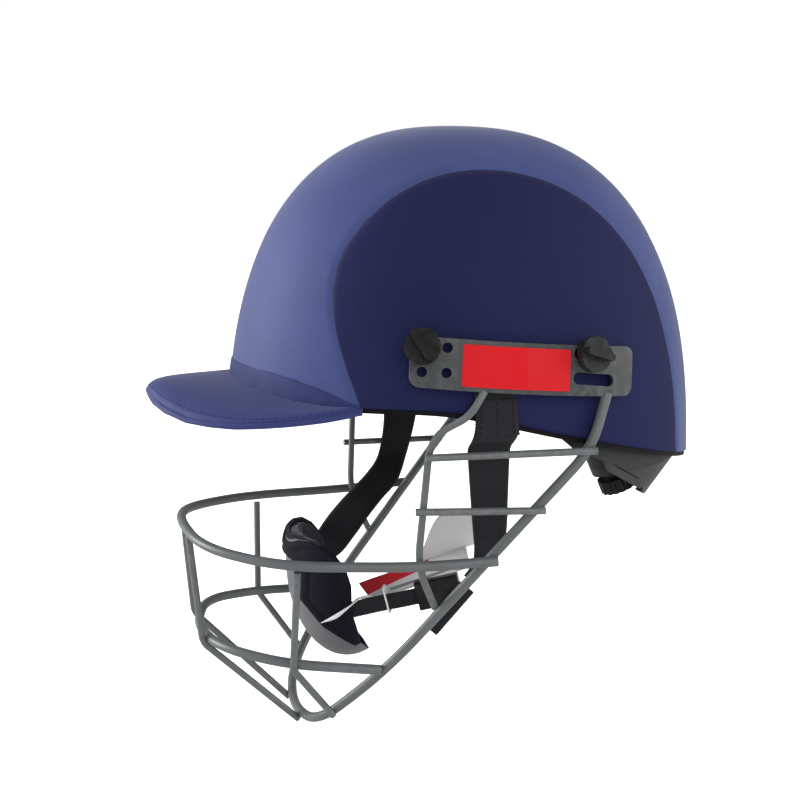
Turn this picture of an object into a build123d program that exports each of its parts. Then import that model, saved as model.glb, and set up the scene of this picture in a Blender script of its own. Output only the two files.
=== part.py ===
"""Cricket helmet with a peak, a wire face guard, a chin strap and a dial size adjuster.

The wearer looks along -Y, +Z is up and the wearer's left is +X.
The origin lies on the mid-plane, inside the helmet, at the height of the ears.
"""
import os
from math import cos, pi, radians, sin, tan

from build123d import *

# Dome: the outside of the cloth, a rounded dome on two half ellipses
dome_half_width = 104.0
dome_front_reach = 117.3
dome_rear_reach = 130.0
dome_rise = 174.9
dome_centre_y = 26.5
dome_base_z = -31.5
dome_power = 2.47

# Layers of the helmet, from the cloth inwards
cloth_thickness = 1.0
shell_thickness = 3.0
liner_thickness = 15.0
pad_thickness = 6.0
pad_corner = 6.0
pad_height = 34.0
brow_pad_half_width = 48.0
nape_pad_half_width = 40.0
nape_pad_low = 4.0
crown_pad_half_width = 32.0
crown_pad_half_length = 46.0
side_pad_start_y = -22.0
side_pad_length = 74.0
side_pad_low = 24.0

# Lower edge of the shell, seen from the side
brow_edge_z = 10.6
edge_bend_y = 2.0
edge_bend_radius = 160.0
rear_edge_slope = 14.2
rim_drop = 2.4
liner_front_setback = 4.0
liner_rear_setback = 17.0
liner_step_y = 38.0
side_overrun = 30.0

# Crown panel, a strip of even width that flares to the ears in front
crown_half_width = 62.5
flare_top_z = 90.0
flare_half_width = 85.8
flare_height_shares = (0.0, 0.32, 0.62, 1.0)
flare_width_shares = (1.0, 0.62, 0.24, 0.0)

# Cloth band across the front, over the peak
band_thickness = 1.2
band_height = 15.5
band_end_y = -38.0
band_bow = 3.5

# Peak
peak_half_width = 87.0
peak_root_y = -38.0
peak_reach = 96.0
peak_crown_z = 17.2
peak_drop = 13.6
peak_cover_thickness = 4.6
peak_wrap = 0.8
peak_front_power = 2.5
peak_side_power = 1.7
peak_nose_fall = 3.2
peak_nose_power = 10.0
peak_station_shares = (0.0, 0.17, 0.33, 0.48, 0.61, 0.72, 0.83, 0.925, 0.975, 0.995)
peak_drop_shares = (0.42, 0.62, 0.76, 0.88, 0.98, 1.0, 0.97, 0.74, 0.5, 0.3)

# Side plates and their adjusting holes
plate_standoff = 4.2
plate_thickness = 2.0
plate_length = 112.0
plate_height = 23.6
plate_centre_y = 38.0
plate_centre_z = 29.6
plate_tilt = 4.6
plate_corner = 4.5
hole_radius = 2.4
hole_pitch_y = 11.4
hole_pitch_z = 11.6
slot_length = 23.5
slot_height = 5.7
slot_pitch_z = 11.6
slot_offset = 3.2
label_length = 53.0
label_height = 19.4
label_thickness = 0.4
label_corner = 1.0
label_centre_y = 31.6

# Thumb screws
front_screw_y = -10.4
front_screw_z = 39.6
rear_screw_y = 67.4
rear_screw_z = 33.9
screw_radius = 2.5
screw_length = 20.0
screw_hole_radius = 2.75
screw_gap = 0.05
washer_radius = 7.4
washer_thickness = 1.4
washer_gap = 0.3
knob_radius = 8.6
knob_thickness = 4.2
knob_bar_length = 15.6
knob_bar_width = 3.4
knob_bar_height = 4.4
knob_flute_radius = 0.6
knob_flute_count = 26
front_bar_turn = -55.0
rear_bar_turn = -12.0
spacer_radius = 6.0
spacer_hole_radius = 3.6
tnut_flange_radius = 7.0
tnut_flange_thickness = 1.2
tnut_barrel_radius = 3.4
tnut_barrel_length = 11.0
tnut_gap = 0.2

# Face guard wires
ring_wire = 5.0
bar_wire = 3.6
wire_bend_share = 0.45
upright_bend_radius = 10.0
plate_hold_front_y = 15.5
plate_hold_front_z = 20.0
plate_hold_rear_y = 79.0
plate_hold_rear_z = 16.0
upper_ring_path = (
    (93.2, 27.0, -65.5), (89.2, -13.0, -67.2), (78.0, -76.0, -66.0), (45.0, -111.0, -63.0), (0.0, -119.0, -58.5),
)
lower_ring_path = ((73.9, -26.6, -122.8), (64.6, -72.0, -119.5), (42.0, -102.5, -116.0), (0.0, -110.9, -117.0))
frame_points = ((101.4, 70.6, -10.5), (75.0, -24.2, -122.6), (43.0, -54.0, -160.0), (0.0, -60.0, -166.0))
side_wire_points = ((108.4, 8.5, 9.0), (94.0, -7.0, -3.0), (85.5, -11.0, -68.0), (79.7, -0.7, -91.0))
top_bar_path = ((95.8, -9.5, -12.6), (104.4, 72.5, -11.0))
second_bar_path = ((91.7, -13.4, -39.4), (98.4, 49.0, -40.4))
outer_upright_path = ((76.8, -68.3, -69.6), (68.2, -69.5, -121.5), (53.6, -47.2, -152.3))
middle_upright_path = ((16.0, -115.2, -63.9), (26.0, -110.0, -118.0), (16.4, -59.4, -167.4))

# Chin strap
strap_thickness = 1.5
strap_gap = 0.4
rivet_y = 21.0
rivet_z = 31.0
rivet_radius = 2.0
rivet_gap = 0.06
rivet_head_radius = 4.2
rivet_head_thickness = 0.8
rivet_inner_length = 5.4
rivet_head_gap = 0.45
strap_top = 9.0
left_strap_points = ((106.4, -1.5), (90.0, -9.5), (79.5, -57.0), (70.0, -72.0), (54.5, -84.5))
left_strap_side = (
    (10.7, 42.0), (31.3, 42.0), (31.5, 6.0), (33.5, -6.0), (35.6, -57.0), (30.5, -72.0), (28.5, -90.0),
    (19.5, -90.0), (21.5, -70.0), (18.6, -57.0), (10.5, -6.0), (11.6, 4.0), (11.6, 16.0), (10.7, 24.0),
)
right_strap_points = ((106.4, -1.5), (88.5, -9.5), (87.5, -47.0), (64.0, -72.0))
right_strap_side = (
    (10.7, 42.0), (31.3, 42.0), (31.5, -14.0), (29.0, -30.0), (25.0, -45.5), (16.5, -60.5), (-5.5, -76.0),
    (-17.5, -84.0), (-26.5, -94.5), (-38.0, -99.0), (-41.0, -90.0), (-39.5, -80.5), (-25.5, -73.0), (-8.5, -61.0),
    (5.0, -50.5), (9.5, -33.0), (10.5, -6.0), (11.6, 4.0), (11.6, 16.0), (10.7, 24.0),
)
strap_end_high_z = -81.5
strap_end_low_z = -100.0

# Chin cup
cup_centre_y = -30.0
cup_centre_z = -86.0
cup_half_width = 39.0
cup_forward = 33.5
cup_depth = 53.5
cup_upper = 36.0
cup_strap_gap = 0.15
cup_rear_y = -34.5
cup_outline = (
    (-75.0, -75.5), (-64.0, -73.5), (-59.5, -69.0), (-55.0, -68.0), (-49.0, -69.0), (-43.0, -73.0), (-37.5, -80.0),
    (-34.5, -90.0), (-34.0, -104.0), (-27.0, -125.0), (-19.0, -134.0), (-19.0, -150.0), (-75.0, -150.0),
)
cover_outline = (
    (-75.0, -75.5), (-64.0, -73.5), (-59.5, -69.0), (-55.0, -68.0), (-49.0, -69.0), (-43.0, -73.0), (-37.5, -80.0),
    (-34.5, -90.0), (-34.0, -104.0), (-27.0, -125.0), (-30.0, -127.0), (-47.5, -115.0), (-59.0, -101.0), (-58.5, -86.0),
    (-62.0, -81.0), (-75.0, -81.0),
)
cup_cover_thickness = 1.2
cup_shell_thickness = 2.4
cup_pad_thickness = 5.0

# Thin strap, side-release buckle and strap tail
thin_strap_width = 8.6
thin_strap_thickness = 1.4
strap_pocket_depth = 17.0
strap_in_pocket = 8.0
strap_pocket_gap = 0.35
buckle_width = 15.0
buckle_thickness = 6.6
buckle_socket_length = 17.0
buckle_block_length = 5.5
buckle_mouth_gap = 0.2
buckle_wall = 1.3
buckle_cavity_depth = 11.0
prong_length = 7.4
prong_width = 3.0
prong_gap = 0.25
buckle_distance = 36.0
cup_mouth_x = 33.0
cup_mouth_y = -34.0
cup_mouth_z = -104.0
buckle_end_x = 54.0
buckle_end_y = 27.0
buckle_end_z = -88.0
tail_gap = 0.1
tail_length = 30.0
tail_width = 9.4
tail_centre_along = 50.5
tail_centre_up = -8.6
tail_turn = 37.0

# Rear size adjuster
wing_gap = 0.5
wing_thickness = 2.2
wing_inset_z = -27.0
wing_foot_z = -54.0
wing_foot_half_width = 80.0
wing_foot_reach = 108.0
wing_front_y = 50.0
wing_overlap = 12.0
wing_half_gap = 9.5
wing_travel = 8.0
wing_dial_gap = 0.6
wing_start_points = ((56.0, -5.0), (64.0, -11.5), (92.0, -24.0), (110.0, -34.0), (131.0, -53.0))
wing_corner_y = 145.0
wing_low_z = -60.0
dial_y = 119.0
dial_z = -35.5
dial_tilt = 23.5
pinion_radius = 3.6
pinion_teeth = 9
tooth_height = 1.3
tooth_width = 0.95
rack_teeth_inside = 3
rack_teeth_outside = 8
pinion_height = 7.0
rack_thickness = 2.6
rack_gap = 0.25
rack_tail = 11.0
axle_radius = 1.8
barrel_radius = 12.0
barrel_up = 7.0
barrel_down = 7.5
barrel_wall = 1.6
dial_radius = 10.8
dial_thickness = 7.5
dial_neck_radius = 6.2
dial_neck_gap = 0.4
dial_neck_length = 4.2
dial_flute_radius = 1.3
dial_flute_count = 16
hanger_width = 13.0
hanger_thickness = 2.6
hanger_points = ((158.0, 0.0), (151.5, -6.0), (128.0, -27.0), (118.0, -31.0))

# Swing tag
tag_thickness = 0.8
tag_width = 22.0
tag_lift = -2.5
tag_behind = 3.7
tag_hole_room = 0.25
tag_edge_direction = (0.06, 0.93, 0.29)
tag_across_direction = (-0.97, 0.0, 0.2)
lying_page = ((-8.0, 0.0), (46.0, 0.0), (50.0, 22.0), (-11.0, 22.0))
standing_page = ((22.0, -0.4), (62.0, -0.4), (69.0, 4.0), (80.0, 11.0), (58.0, 18.5), (41.0, 21.5), (28.0, 8.0))
tie_wire = 0.9
tie_share = 0.55
tie_up = 1.4
tie_behind = 1.3
tie_height = 15.0
tie_width = 7.4
tie_corner = 2.4

# Extra reach of a cutting solid past the solid that it cuts
overrun = 40.0


def reach_at(inset, reach):
    """One half axis of the dome after every layer outside `inset` is taken off."""
    return reach - inset


def half_dome(inset, reach, start):
    """Half of the dome on one side of its centre line, as a revolved solid stretched along Y."""
    width = reach_at(inset, dome_half_width)
    rise = reach_at(inset, dome_rise)
    steps = 7
    angles = [pi / 2 * step / steps for step in range(steps + 1)]
    outline = []
    for angle in angles:
        scale_to_curve = (cos(angle) ** dome_power + sin(angle) ** dome_power) ** (-1 / dome_power)
        outline.append((width * scale_to_curve * cos(angle), rise * scale_to_curve * sin(angle)))
    outline[-1] = (0, rise)
    with BuildPart() as half:
        with BuildSketch(Plane.XZ):
            with BuildLine():
                Spline(*outline, tangents=((0, 1), (-1, 0)))
                Line((0, rise), (0, 0))
                Line((0, 0), (width, 0))
            make_face()
        revolve(axis=Axis.Z, revolution_arc=180)
    turned = half.part.rotate(Axis.Z, start)
    stretched = scale(turned, by=(1, reach_at(inset, reach) / width, 1))
    return stretched.moved(Location((0, dome_centre_y, dome_base_z)))


def dome_block(inset):
    """The whole dome, solid, with everything outside `inset` taken off."""
    front = half_dome(inset, dome_front_reach, 180)
    rear = half_dome(inset, dome_rear_reach, 0)
    return front + rear


def dome_width_at(y, z, inset=0):
    """Distance of the dome's surface from the mid-plane at one height and place along Y."""
    reach = dome_front_reach if y < dome_centre_y else dome_rear_reach
    height_part = max(z - dome_base_z, 0) / reach_at(inset, dome_rise)
    plan_radius = (1 - height_part ** dome_power) ** (1 / dome_power)
    length_part = (y - dome_centre_y) / reach_at(inset, reach)
    return reach_at(inset, dome_half_width) * (plan_radius ** 2 - length_part ** 2) ** 0.5


def side_block(*outline):
    """A block that runs right across the helmet with an outline drawn in the side view, as (y, z)."""
    with BuildPart() as block:
        with BuildSketch(Plane.YZ):
            with BuildLine():
                Polyline(*outline, close=True)
            make_face()
        extrude(amount=dome_half_width + side_overrun, both=True)
    return block.part


front_limit_y = dome_centre_y - dome_front_reach - overrun
rear_limit_y = dome_centre_y + dome_rear_reach + overrun
top_limit_z = dome_base_z + dome_rise + overrun
bottom_limit_z = dome_base_z - overrun


def edge_z(y, lift=0):
    """Height of the shell's lower edge at one place along Y."""
    return brow_edge_z + lift - max(y - edge_bend_y, 0) * tan(radians(rear_edge_slope))


def above_edge(lift=0):
    """Everything above the shell's lower edge, or above a line `lift` higher."""
    with BuildPart() as block:
        with BuildSketch(Plane.YZ):
            with BuildLine():
                edge = FilletPolyline(
                    (front_limit_y, edge_z(front_limit_y, lift)),
                    (edge_bend_y, edge_z(edge_bend_y, lift)),
                    (rear_limit_y, edge_z(rear_limit_y, lift)),
                    radius=edge_bend_radius,
                )
                Polyline(edge @ 1, (rear_limit_y, top_limit_z), (front_limit_y, top_limit_z), edge @ 0)
            make_face()
        extrude(amount=dome_half_width + side_overrun, both=True)
    return block.part


def surface_plane(y, z, side=1):
    """Plane on the cloth, with its normal out of the dome and its X axis along the side plate."""
    x = dome_width_at(y, z)
    reach = dome_front_reach if y < dome_centre_y else dome_rear_reach
    plan_squared = (x / dome_half_width) ** 2 + ((y - dome_centre_y) / reach) ** 2
    plan_part = plan_squared ** (dome_power / 2 - 1)
    height_part = ((z - dome_base_z) / dome_rise) ** (dome_power - 1)
    normal = Vector(
        plan_part * x / dome_half_width ** 2,
        plan_part * (y - dome_centre_y) / reach ** 2,
        height_part / dome_rise,
    ).normalized()
    along = Vector(0, cos(radians(plate_tilt)), -sin(radians(plate_tilt)))
    along = (along - normal * along.dot(normal)).normalized()
    if side < 0:
        normal = Vector(-normal.X, normal.Y, normal.Z)
        along = Vector(-along.X, along.Y, along.Z)
        x = -x
    return Plane(origin=(x, y, z), x_dir=along, z_dir=normal)


def peg(plane, radius, low, high):
    """A plain round solid along a plane's normal, between two distances from the plane."""
    with BuildPart(plane.offset(low), mode=Mode.PRIVATE) as solid:
        Cylinder(radius, high - low, align=(Align.CENTER, Align.CENTER, Align.MIN))
    return solid.part


def screw_places():
    """Name, place along Y and height of each thumb screw on one side."""
    return (("front", front_screw_y, front_screw_z), ("rear", rear_screw_y, rear_screw_z))


def drill(radius, low, high):
    """One tool that drills all four thumb screw holes between two depths."""
    tool = None
    for _, y, z in screw_places():
        for side in (1, -1):
            hole = peg(surface_plane(y, z, side), radius, low, high)
            tool = hole if tool is None else tool + hole
    return tool


def rivet_drill(radius):
    """Holes through the helmet's sides for the strap rivets."""
    width = dome_width_at(rivet_y, rivet_z)
    tool = None
    for side in (1, -1):
        plane = Plane(origin=(side * width, rivet_y, rivet_z), z_dir=(side, 0, 0))
        hole = peg(plane, radius, -overrun / 2, overrun / 2)
        tool = hole if tool is None else tool + hole
    return tool


def mirrored(solid):
    """The same piece on the wearer's right side."""
    with BuildPart() as other:
        mirror(solid, about=Plane.YZ)
    return other.part


def crown_block():
    """The space of the crown strip: a slab of even width that flares at the front."""
    low = edge_z(front_limit_y) - cloth_thickness
    flare = []
    for height_share, width_share in zip(flare_height_shares, flare_width_shares):
        width = crown_half_width + width_share * (flare_half_width - crown_half_width)
        flare.append((width, low + height_share * (flare_top_z - low)))
    with BuildPart() as block:
        with BuildSketch(Plane.YZ):
            with Locations((dome_centre_y, 0)):
                Rectangle(rear_limit_y - front_limit_y, 2 * top_limit_z)
        extrude(amount=crown_half_width, both=True)
        with BuildSketch(Plane.XZ.offset(-dome_centre_y)):
            with BuildLine():
                side = Spline(*flare, tangents=((-1, 3), (0, 1)))
                Polyline(side @ 1, (0, flare_top_z), (0, bottom_limit_z), (flare_half_width, bottom_limit_z), side @ 0)
            make_face()
            mirror(about=Plane.YZ)
        extrude(amount=dome_centre_y - front_limit_y)
    return block.part


def peak_solid(wrap):
    """The peak as a loft of arched strips, from the shell out to the rounded tip."""
    with BuildPart() as solid:
        for station_share, drop_share in zip(peak_station_shares, peak_drop_shares):
            y = peak_root_y - station_share * (peak_reach - wrap)
            width = (peak_half_width - wrap) * (1 - station_share ** peak_front_power) ** (1 / peak_side_power)
            crown = peak_crown_z - wrap - peak_nose_fall * station_share ** peak_nose_power
            edge = crown - peak_drop * drop_share
            depth = peak_cover_thickness - 2 * wrap
            with BuildSketch(Plane.XZ.offset(-y)):
                with BuildLine():
                    ThreePointArc((-width, edge), (0, crown), (width, edge))
                    Line((width, edge), (width, edge - depth))
                    ThreePointArc((width, edge - depth), (0, crown - depth), (-width, edge - depth))
                    Line((-width, edge - depth), (-width, edge))
                make_face()
        loft()
    return solid.part


def bend_radii(points, limit=None):
    """A bend radius for each inner point of a wire, as large as the runs beside it or a limit allow."""
    radii = []
    for before, here, after in zip(points, points[1:], points[2:]):
        first = Vector(*here) - Vector(*before)
        second = Vector(*after) - Vector(*here)
        turn = radians(first.get_angle(second))
        radius = wire_bend_share * min(first.length, second.length) / tan(turn / 2)
        radii.append(radius if limit is None else min(radius, limit))
    return radii


def wire(points, diameter, bend_limit=None):
    """A round wire along straight runs joined by bends."""
    with BuildPart() as solid:
        with BuildLine() as path:
            if len(points) > 2:
                FilletPolyline(*points, radius=bend_radii(points, bend_limit))
            else:
                Line(*points)
        with BuildSketch(Plane(origin=path.line @ 0, z_dir=path.line % 0)):
            Circle(diameter / 2)
        sweep()
    return solid.part


def across(points):
    """A path on the left side joined to its mirror image; the last point lies on the mid-plane."""
    return list(points) + [(-x, y, z) for x, y, z in reversed(points[:-1])]


nodes = {}


def keep(name, solid):
    """Label one finished piece and remember it for writing."""
    solid.label = name
    nodes[name] = solid
    return solid


# The shared solids of the dome's layers
cloth_outside = dome_block(0)
shell_outside = dome_block(cloth_thickness)
shell_inside = dome_block(cloth_thickness + shell_thickness)
liner_inside = dome_block(cloth_thickness + shell_thickness + liner_thickness)
pad_inside = dome_block(cloth_thickness + shell_thickness + liner_thickness + pad_thickness)
band_outside = dome_block(-band_thickness)
plate_inside = dome_block(-plate_standoff)
plate_outside = dome_block(-plate_standoff - plate_thickness)
label_outside = dome_block(-plate_standoff - plate_thickness - label_thickness)
shell_space = above_edge()
crown_space = crown_block()
cloth_drill = drill(spacer_hole_radius, -overrun / 2, overrun / 2)

# Impact shell
with BuildPart() as shell:
    add(shell_outside)
    add(shell_inside, mode=Mode.SUBTRACT)
    add(shell_space, mode=Mode.INTERSECT)
    add(drill(tnut_barrel_radius + tnut_gap, -overrun / 2, overrun / 2), mode=Mode.SUBTRACT)
    add(rivet_drill(rivet_radius), mode=Mode.SUBTRACT)
keep("shell", shell.part)

# Black trim round the shell's lower edge, behind the peak
with BuildPart() as edge_trim:
    add(cloth_outside)
    add(shell_inside, mode=Mode.SUBTRACT)
    add(above_edge(-rim_drop), mode=Mode.INTERSECT)
    add(shell_space, mode=Mode.SUBTRACT)
    add(side_block(
        (peak_root_y, bottom_limit_z), (rear_limit_y, bottom_limit_z),
        (rear_limit_y, top_limit_z), (peak_root_y, top_limit_z),
    ), mode=Mode.INTERSECT)
keep("edge_trim", edge_trim.part)

# Cloth panels: crown strip, two sides
with BuildPart() as crown_panel:
    add(cloth_outside)
    add(shell_outside, mode=Mode.SUBTRACT)
    add(shell_space, mode=Mode.INTERSECT)
    add(crown_space, mode=Mode.INTERSECT)
keep("crown_panel", crown_panel.part)

with BuildPart() as side_panel:
    add(cloth_outside)
    add(shell_outside, mode=Mode.SUBTRACT)
    add(shell_space, mode=Mode.INTERSECT)
    add(crown_space, mode=Mode.SUBTRACT)
    add(cloth_drill, mode=Mode.SUBTRACT)
    add(rivet_drill(rivet_radius), mode=Mode.SUBTRACT)
    split(bisect_by=Plane.YZ, keep=Keep.TOP)
keep("side_panel_left", side_panel.part)
keep("side_panel_right", mirrored(side_panel.part))

# Cloth band across the front, deepest over the nose
band_top_z = edge_z(front_limit_y) + band_height
with BuildPart() as front_band:
    add(band_outside)
    add(cloth_outside, mode=Mode.SUBTRACT)
    add(shell_space, mode=Mode.INTERSECT)
    with BuildSketch(Plane.YZ, mode=Mode.PRIVATE) as band_side:
        with BuildLine():
            start = (dome_centre_y - dome_front_reach, band_top_z)
            end = (band_end_y, edge_z(band_end_y))
            middle = ((start[0] + end[0]) / 2, (start[1] + end[1]) / 2 + band_bow)
            ThreePointArc(start, middle, end)
            Polyline(end, (band_end_y, bottom_limit_z), (front_limit_y, bottom_limit_z), (front_limit_y, band_top_z), start)
        make_face()
    extrude(band_side.sketch, amount=dome_half_width + side_overrun, both=True, mode=Mode.INTERSECT)
keep("front_band", front_band.part)

# Peak: a stiff core in a cloth cover, both cut to the dome
peak_inner = peak_solid(peak_wrap)
with BuildPart() as peak_core:
    add(peak_inner)
    add(band_outside, mode=Mode.SUBTRACT)
keep("peak_core", peak_core.part)
with BuildPart() as peak_cover:
    add(peak_solid(0))
    add(peak_inner, mode=Mode.SUBTRACT)
    add(band_outside, mode=Mode.SUBTRACT)
keep("peak_cover", peak_cover.part)


def hanger_strip(room):
    """The bent strip of the adjuster's hanger, or the space for it with some room all round."""
    with BuildPart() as strip:
        with BuildSketch(Plane.YZ):
            with BuildLine():
                Polyline(*hanger_points)
            trace(line_width=hanger_thickness + 2 * room)
        extrude(amount=hanger_width / 2 + room, both=True)
    return strip.part


# Foam liner, with pockets round the screw nuts, set back further behind the ears
with BuildPart() as liner:
    add(shell_inside)
    add(liner_inside, mode=Mode.SUBTRACT)
    add(side_block(
        (front_limit_y, edge_z(front_limit_y, liner_front_setback)),
        (liner_step_y, edge_z(liner_step_y, liner_front_setback)),
        (liner_step_y + liner_rear_setback, edge_z(liner_step_y + liner_rear_setback, liner_rear_setback)),
        (rear_limit_y, edge_z(rear_limit_y, liner_rear_setback)),
        (rear_limit_y, top_limit_z),
        (front_limit_y, top_limit_z),
    ), mode=Mode.INTERSECT)
    add(drill(tnut_flange_radius + tnut_gap, -overrun / 2, 0), mode=Mode.SUBTRACT)
    add(rivet_drill(rivet_head_radius), mode=Mode.SUBTRACT)
    add(hanger_strip(tnut_gap), mode=Mode.SUBTRACT)
keep("foam_liner", liner.part)


def comfort_pad(*outline, plane=Plane.XZ, reach=overrun):
    """A fabric pad stuck inside the liner, with the outline given in one view of the helmet."""
    with BuildPart() as pad:
        add(liner_inside)
        add(pad_inside, mode=Mode.SUBTRACT)
        with BuildSketch(plane, mode=Mode.PRIVATE) as face:
            with BuildLine():
                Polyline(*outline, close=True)
            make_face()
            fillet(face.vertices(), radius=pad_corner)
        extrude(face.sketch, amount=reach, mode=Mode.INTERSECT)
    return pad.part


brow_pad_low = edge_z(front_limit_y, liner_front_setback)
keep("brow_pad", comfort_pad(
    (-brow_pad_half_width, brow_pad_low), (brow_pad_half_width, brow_pad_low),
    (brow_pad_half_width, brow_pad_low + pad_height), (-brow_pad_half_width, brow_pad_low + pad_height),
    reach=dome_front_reach,
))
keep("nape_pad", comfort_pad(
    (-nape_pad_half_width, nape_pad_low), (nape_pad_half_width, nape_pad_low),
    (nape_pad_half_width, nape_pad_low + pad_height), (-nape_pad_half_width, nape_pad_low + pad_height),
    reach=-(dome_centre_y + dome_rear_reach),
))
keep("crown_pad", comfort_pad(
    (-crown_pad_half_width, dome_centre_y - crown_pad_half_length),
    (crown_pad_half_width, dome_centre_y - crown_pad_half_length),
    (crown_pad_half_width, dome_centre_y + crown_pad_half_length),
    (-crown_pad_half_width, dome_centre_y + crown_pad_half_length),
    plane=Plane.XY, reach=top_limit_z,
))
side_pad = comfort_pad(
    (side_pad_start_y, side_pad_low), (side_pad_start_y + side_pad_length, side_pad_low),
    (side_pad_start_y + side_pad_length, side_pad_low + pad_height), (side_pad_start_y, side_pad_low + pad_height),
    plane=Plane.YZ, reach=dome_half_width,
)
keep("side_pad_left", side_pad)
keep("side_pad_right", mirrored(side_pad))

# Side plates: pressed steel that follows the dome, with four holes in front and two slots behind
plate_plane = Plane(
    origin=(0, plate_centre_y, plate_centre_z),
    x_dir=(0, cos(radians(plate_tilt)), -sin(radians(plate_tilt))),
    z_dir=(1, 0, 0),
)
front_plane = surface_plane(front_screw_y, front_screw_z)
rear_plane = surface_plane(rear_screw_y, rear_screw_z)
with BuildPart() as side_plate:
    add(plate_outside)
    add(plate_inside, mode=Mode.SUBTRACT)
    with BuildSketch(plate_plane, mode=Mode.PRIVATE) as plate_face:
        RectangleRounded(plate_length, plate_height, plate_corner)
    extrude(plate_face.sketch, amount=dome_half_width + side_overrun, mode=Mode.INTERSECT)
    with BuildSketch(front_plane, mode=Mode.PRIVATE) as front_holes:
        Circle(screw_hole_radius)
        with Locations((hole_pitch_y, 0), (0, -hole_pitch_z), (hole_pitch_y, -hole_pitch_z)):
            Circle(hole_radius)
    extrude(front_holes.sketch, amount=overrun / 2, mode=Mode.SUBTRACT)
    with BuildSketch(rear_plane, mode=Mode.PRIVATE) as rear_slots:
        with Locations((slot_offset, 0), (slot_offset, -slot_pitch_z)):
            SlotOverall(slot_length, slot_height)
    extrude(rear_slots.sketch, amount=overrun / 2, mode=Mode.SUBTRACT)
keep("side_plate_left", side_plate.part)
keep("side_plate_right", mirrored(side_plate.part))

# Plain label stuck on each plate
with BuildPart() as side_label:
    add(label_outside)
    add(plate_outside, mode=Mode.SUBTRACT)
    with BuildSketch(plate_plane, mode=Mode.PRIVATE) as label_face:
        with Locations((label_centre_y - plate_centre_y, 0)):
            RectangleRounded(label_length, label_height, label_corner)
    extrude(label_face.sketch, amount=dome_half_width + side_overrun, mode=Mode.INTERSECT)
keep("side_label_left", side_label.part)
keep("side_label_right", mirrored(side_label.part))

# Thumb screws with their washers, spacers and nuts
washer_low = plate_standoff + plate_thickness + washer_gap
knob_low = washer_low + washer_thickness + screw_gap


def washer_at(plane):
    """The washer under a thumb screw's head."""
    with BuildPart() as washer:
        with BuildSketch(plane.offset(washer_low)):
            Circle(washer_radius)
            Circle(screw_radius + screw_gap, mode=Mode.SUBTRACT)
        extrude(amount=washer_thickness)
    return washer.part


def thumb_screw_at(plane, turn):
    """A moulded thumb screw: fluted head with a raised grip bar, and a steel stem."""
    with BuildPart() as screw:
        with BuildSketch(plane.offset(knob_low)):
            Circle(knob_radius)
            with PolarLocations(knob_radius + knob_flute_radius / 2, knob_flute_count):
                Circle(knob_flute_radius, mode=Mode.SUBTRACT)
        extrude(amount=knob_thickness)
        with BuildSketch(plane.offset(knob_low + knob_thickness)):
            SlotOverall(knob_bar_length, knob_bar_width, rotation=turn)
        extrude(amount=knob_bar_height)
        with BuildSketch(plane.offset(knob_low)):
            Circle(screw_radius)
        extrude(amount=-screw_length)
    return screw.part


for place, y, z in screw_places():
    turn = front_bar_turn if place == "front" else rear_bar_turn
    left_plane = surface_plane(y, z)
    washer = washer_at(left_plane)
    screw = thumb_screw_at(left_plane, turn)
    keep(f"{place}_washer_left", washer)
    keep(f"{place}_washer_right", mirrored(washer))
    keep(f"{place}_thumb_screw_left", screw)
    keep(f"{place}_thumb_screw_right", mirrored(screw))

with BuildPart() as spacers:
    add(drill(spacer_radius, -cloth_thickness, overrun / 2))
    add(drill(spacer_hole_radius, -overrun / 2, overrun), mode=Mode.SUBTRACT)
    add(plate_inside, mode=Mode.INTERSECT)
    add(cloth_outside, mode=Mode.SUBTRACT)
keep("plate_spacers", spacers.part)

with BuildPart() as nuts:
    barrel_top = -cloth_thickness - tnut_gap
    flange_top = -cloth_thickness - shell_thickness - 2 * tnut_gap
    add(drill(tnut_barrel_radius, barrel_top - tnut_barrel_length, barrel_top))
    add(drill(tnut_flange_radius, flange_top - tnut_flange_thickness, flange_top))
    add(drill(screw_radius + screw_gap, -overrun, overrun), mode=Mode.SUBTRACT)
keep("screw_nuts", nuts.part)

# Face guard: bent wires, welded where they cross
plate_middle = -plate_standoff - plate_thickness / 2


def on_plate(y, z):
    """A point in the middle of the left side plate's thickness."""
    return (dome_width_at(y, z, plate_middle), y, z)


frame_path = (on_plate(plate_hold_rear_y, plate_hold_rear_z), *frame_points)
side_wire_path = (on_plate(plate_hold_front_y, plate_hold_front_z), *side_wire_points)
keep("frame_wire", wire(across(frame_path), ring_wire))
keep("upper_ring", wire(across(upper_ring_path), ring_wire))
keep("lower_ring", wire(across(lower_ring_path), ring_wire))
for name, path, bend_limit in (
    ("side_wire", side_wire_path, None),
    ("top_bar", top_bar_path, None),
    ("second_bar", second_bar_path, None),
    ("outer_upright", outer_upright_path, upright_bend_radius),
    ("middle_upright", middle_upright_path, upright_bend_radius),
):
    left_wire = wire(path, bar_wire, bend_limit)
    keep(f"{name}_left", left_wire)
    keep(f"{name}_right", mirrored(left_wire))

# Strap rivets: a shank through shell and strap with a flat head outside and inside
rivet_width = dome_width_at(rivet_y, rivet_z)
rivet_plane = Plane(origin=(rivet_width, rivet_y, rivet_z), z_dir=(1, 0, 0))
rivet_head_low = strap_gap + strap_thickness + rivet_head_gap
with BuildPart() as rivet:
    add(peg(rivet_plane, rivet_radius, -rivet_inner_length, rivet_head_low))
    add(peg(rivet_plane, rivet_head_radius, rivet_head_low, rivet_head_low + rivet_head_thickness))
with BuildPart() as strap_rivets:
    add(rivet.part)
    add(mirrored(rivet.part))
keep("strap_rivets", strap_rivets.part)
rivet_hole = peg(rivet_plane, rivet_radius + rivet_gap, -overrun, overrun)


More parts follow.
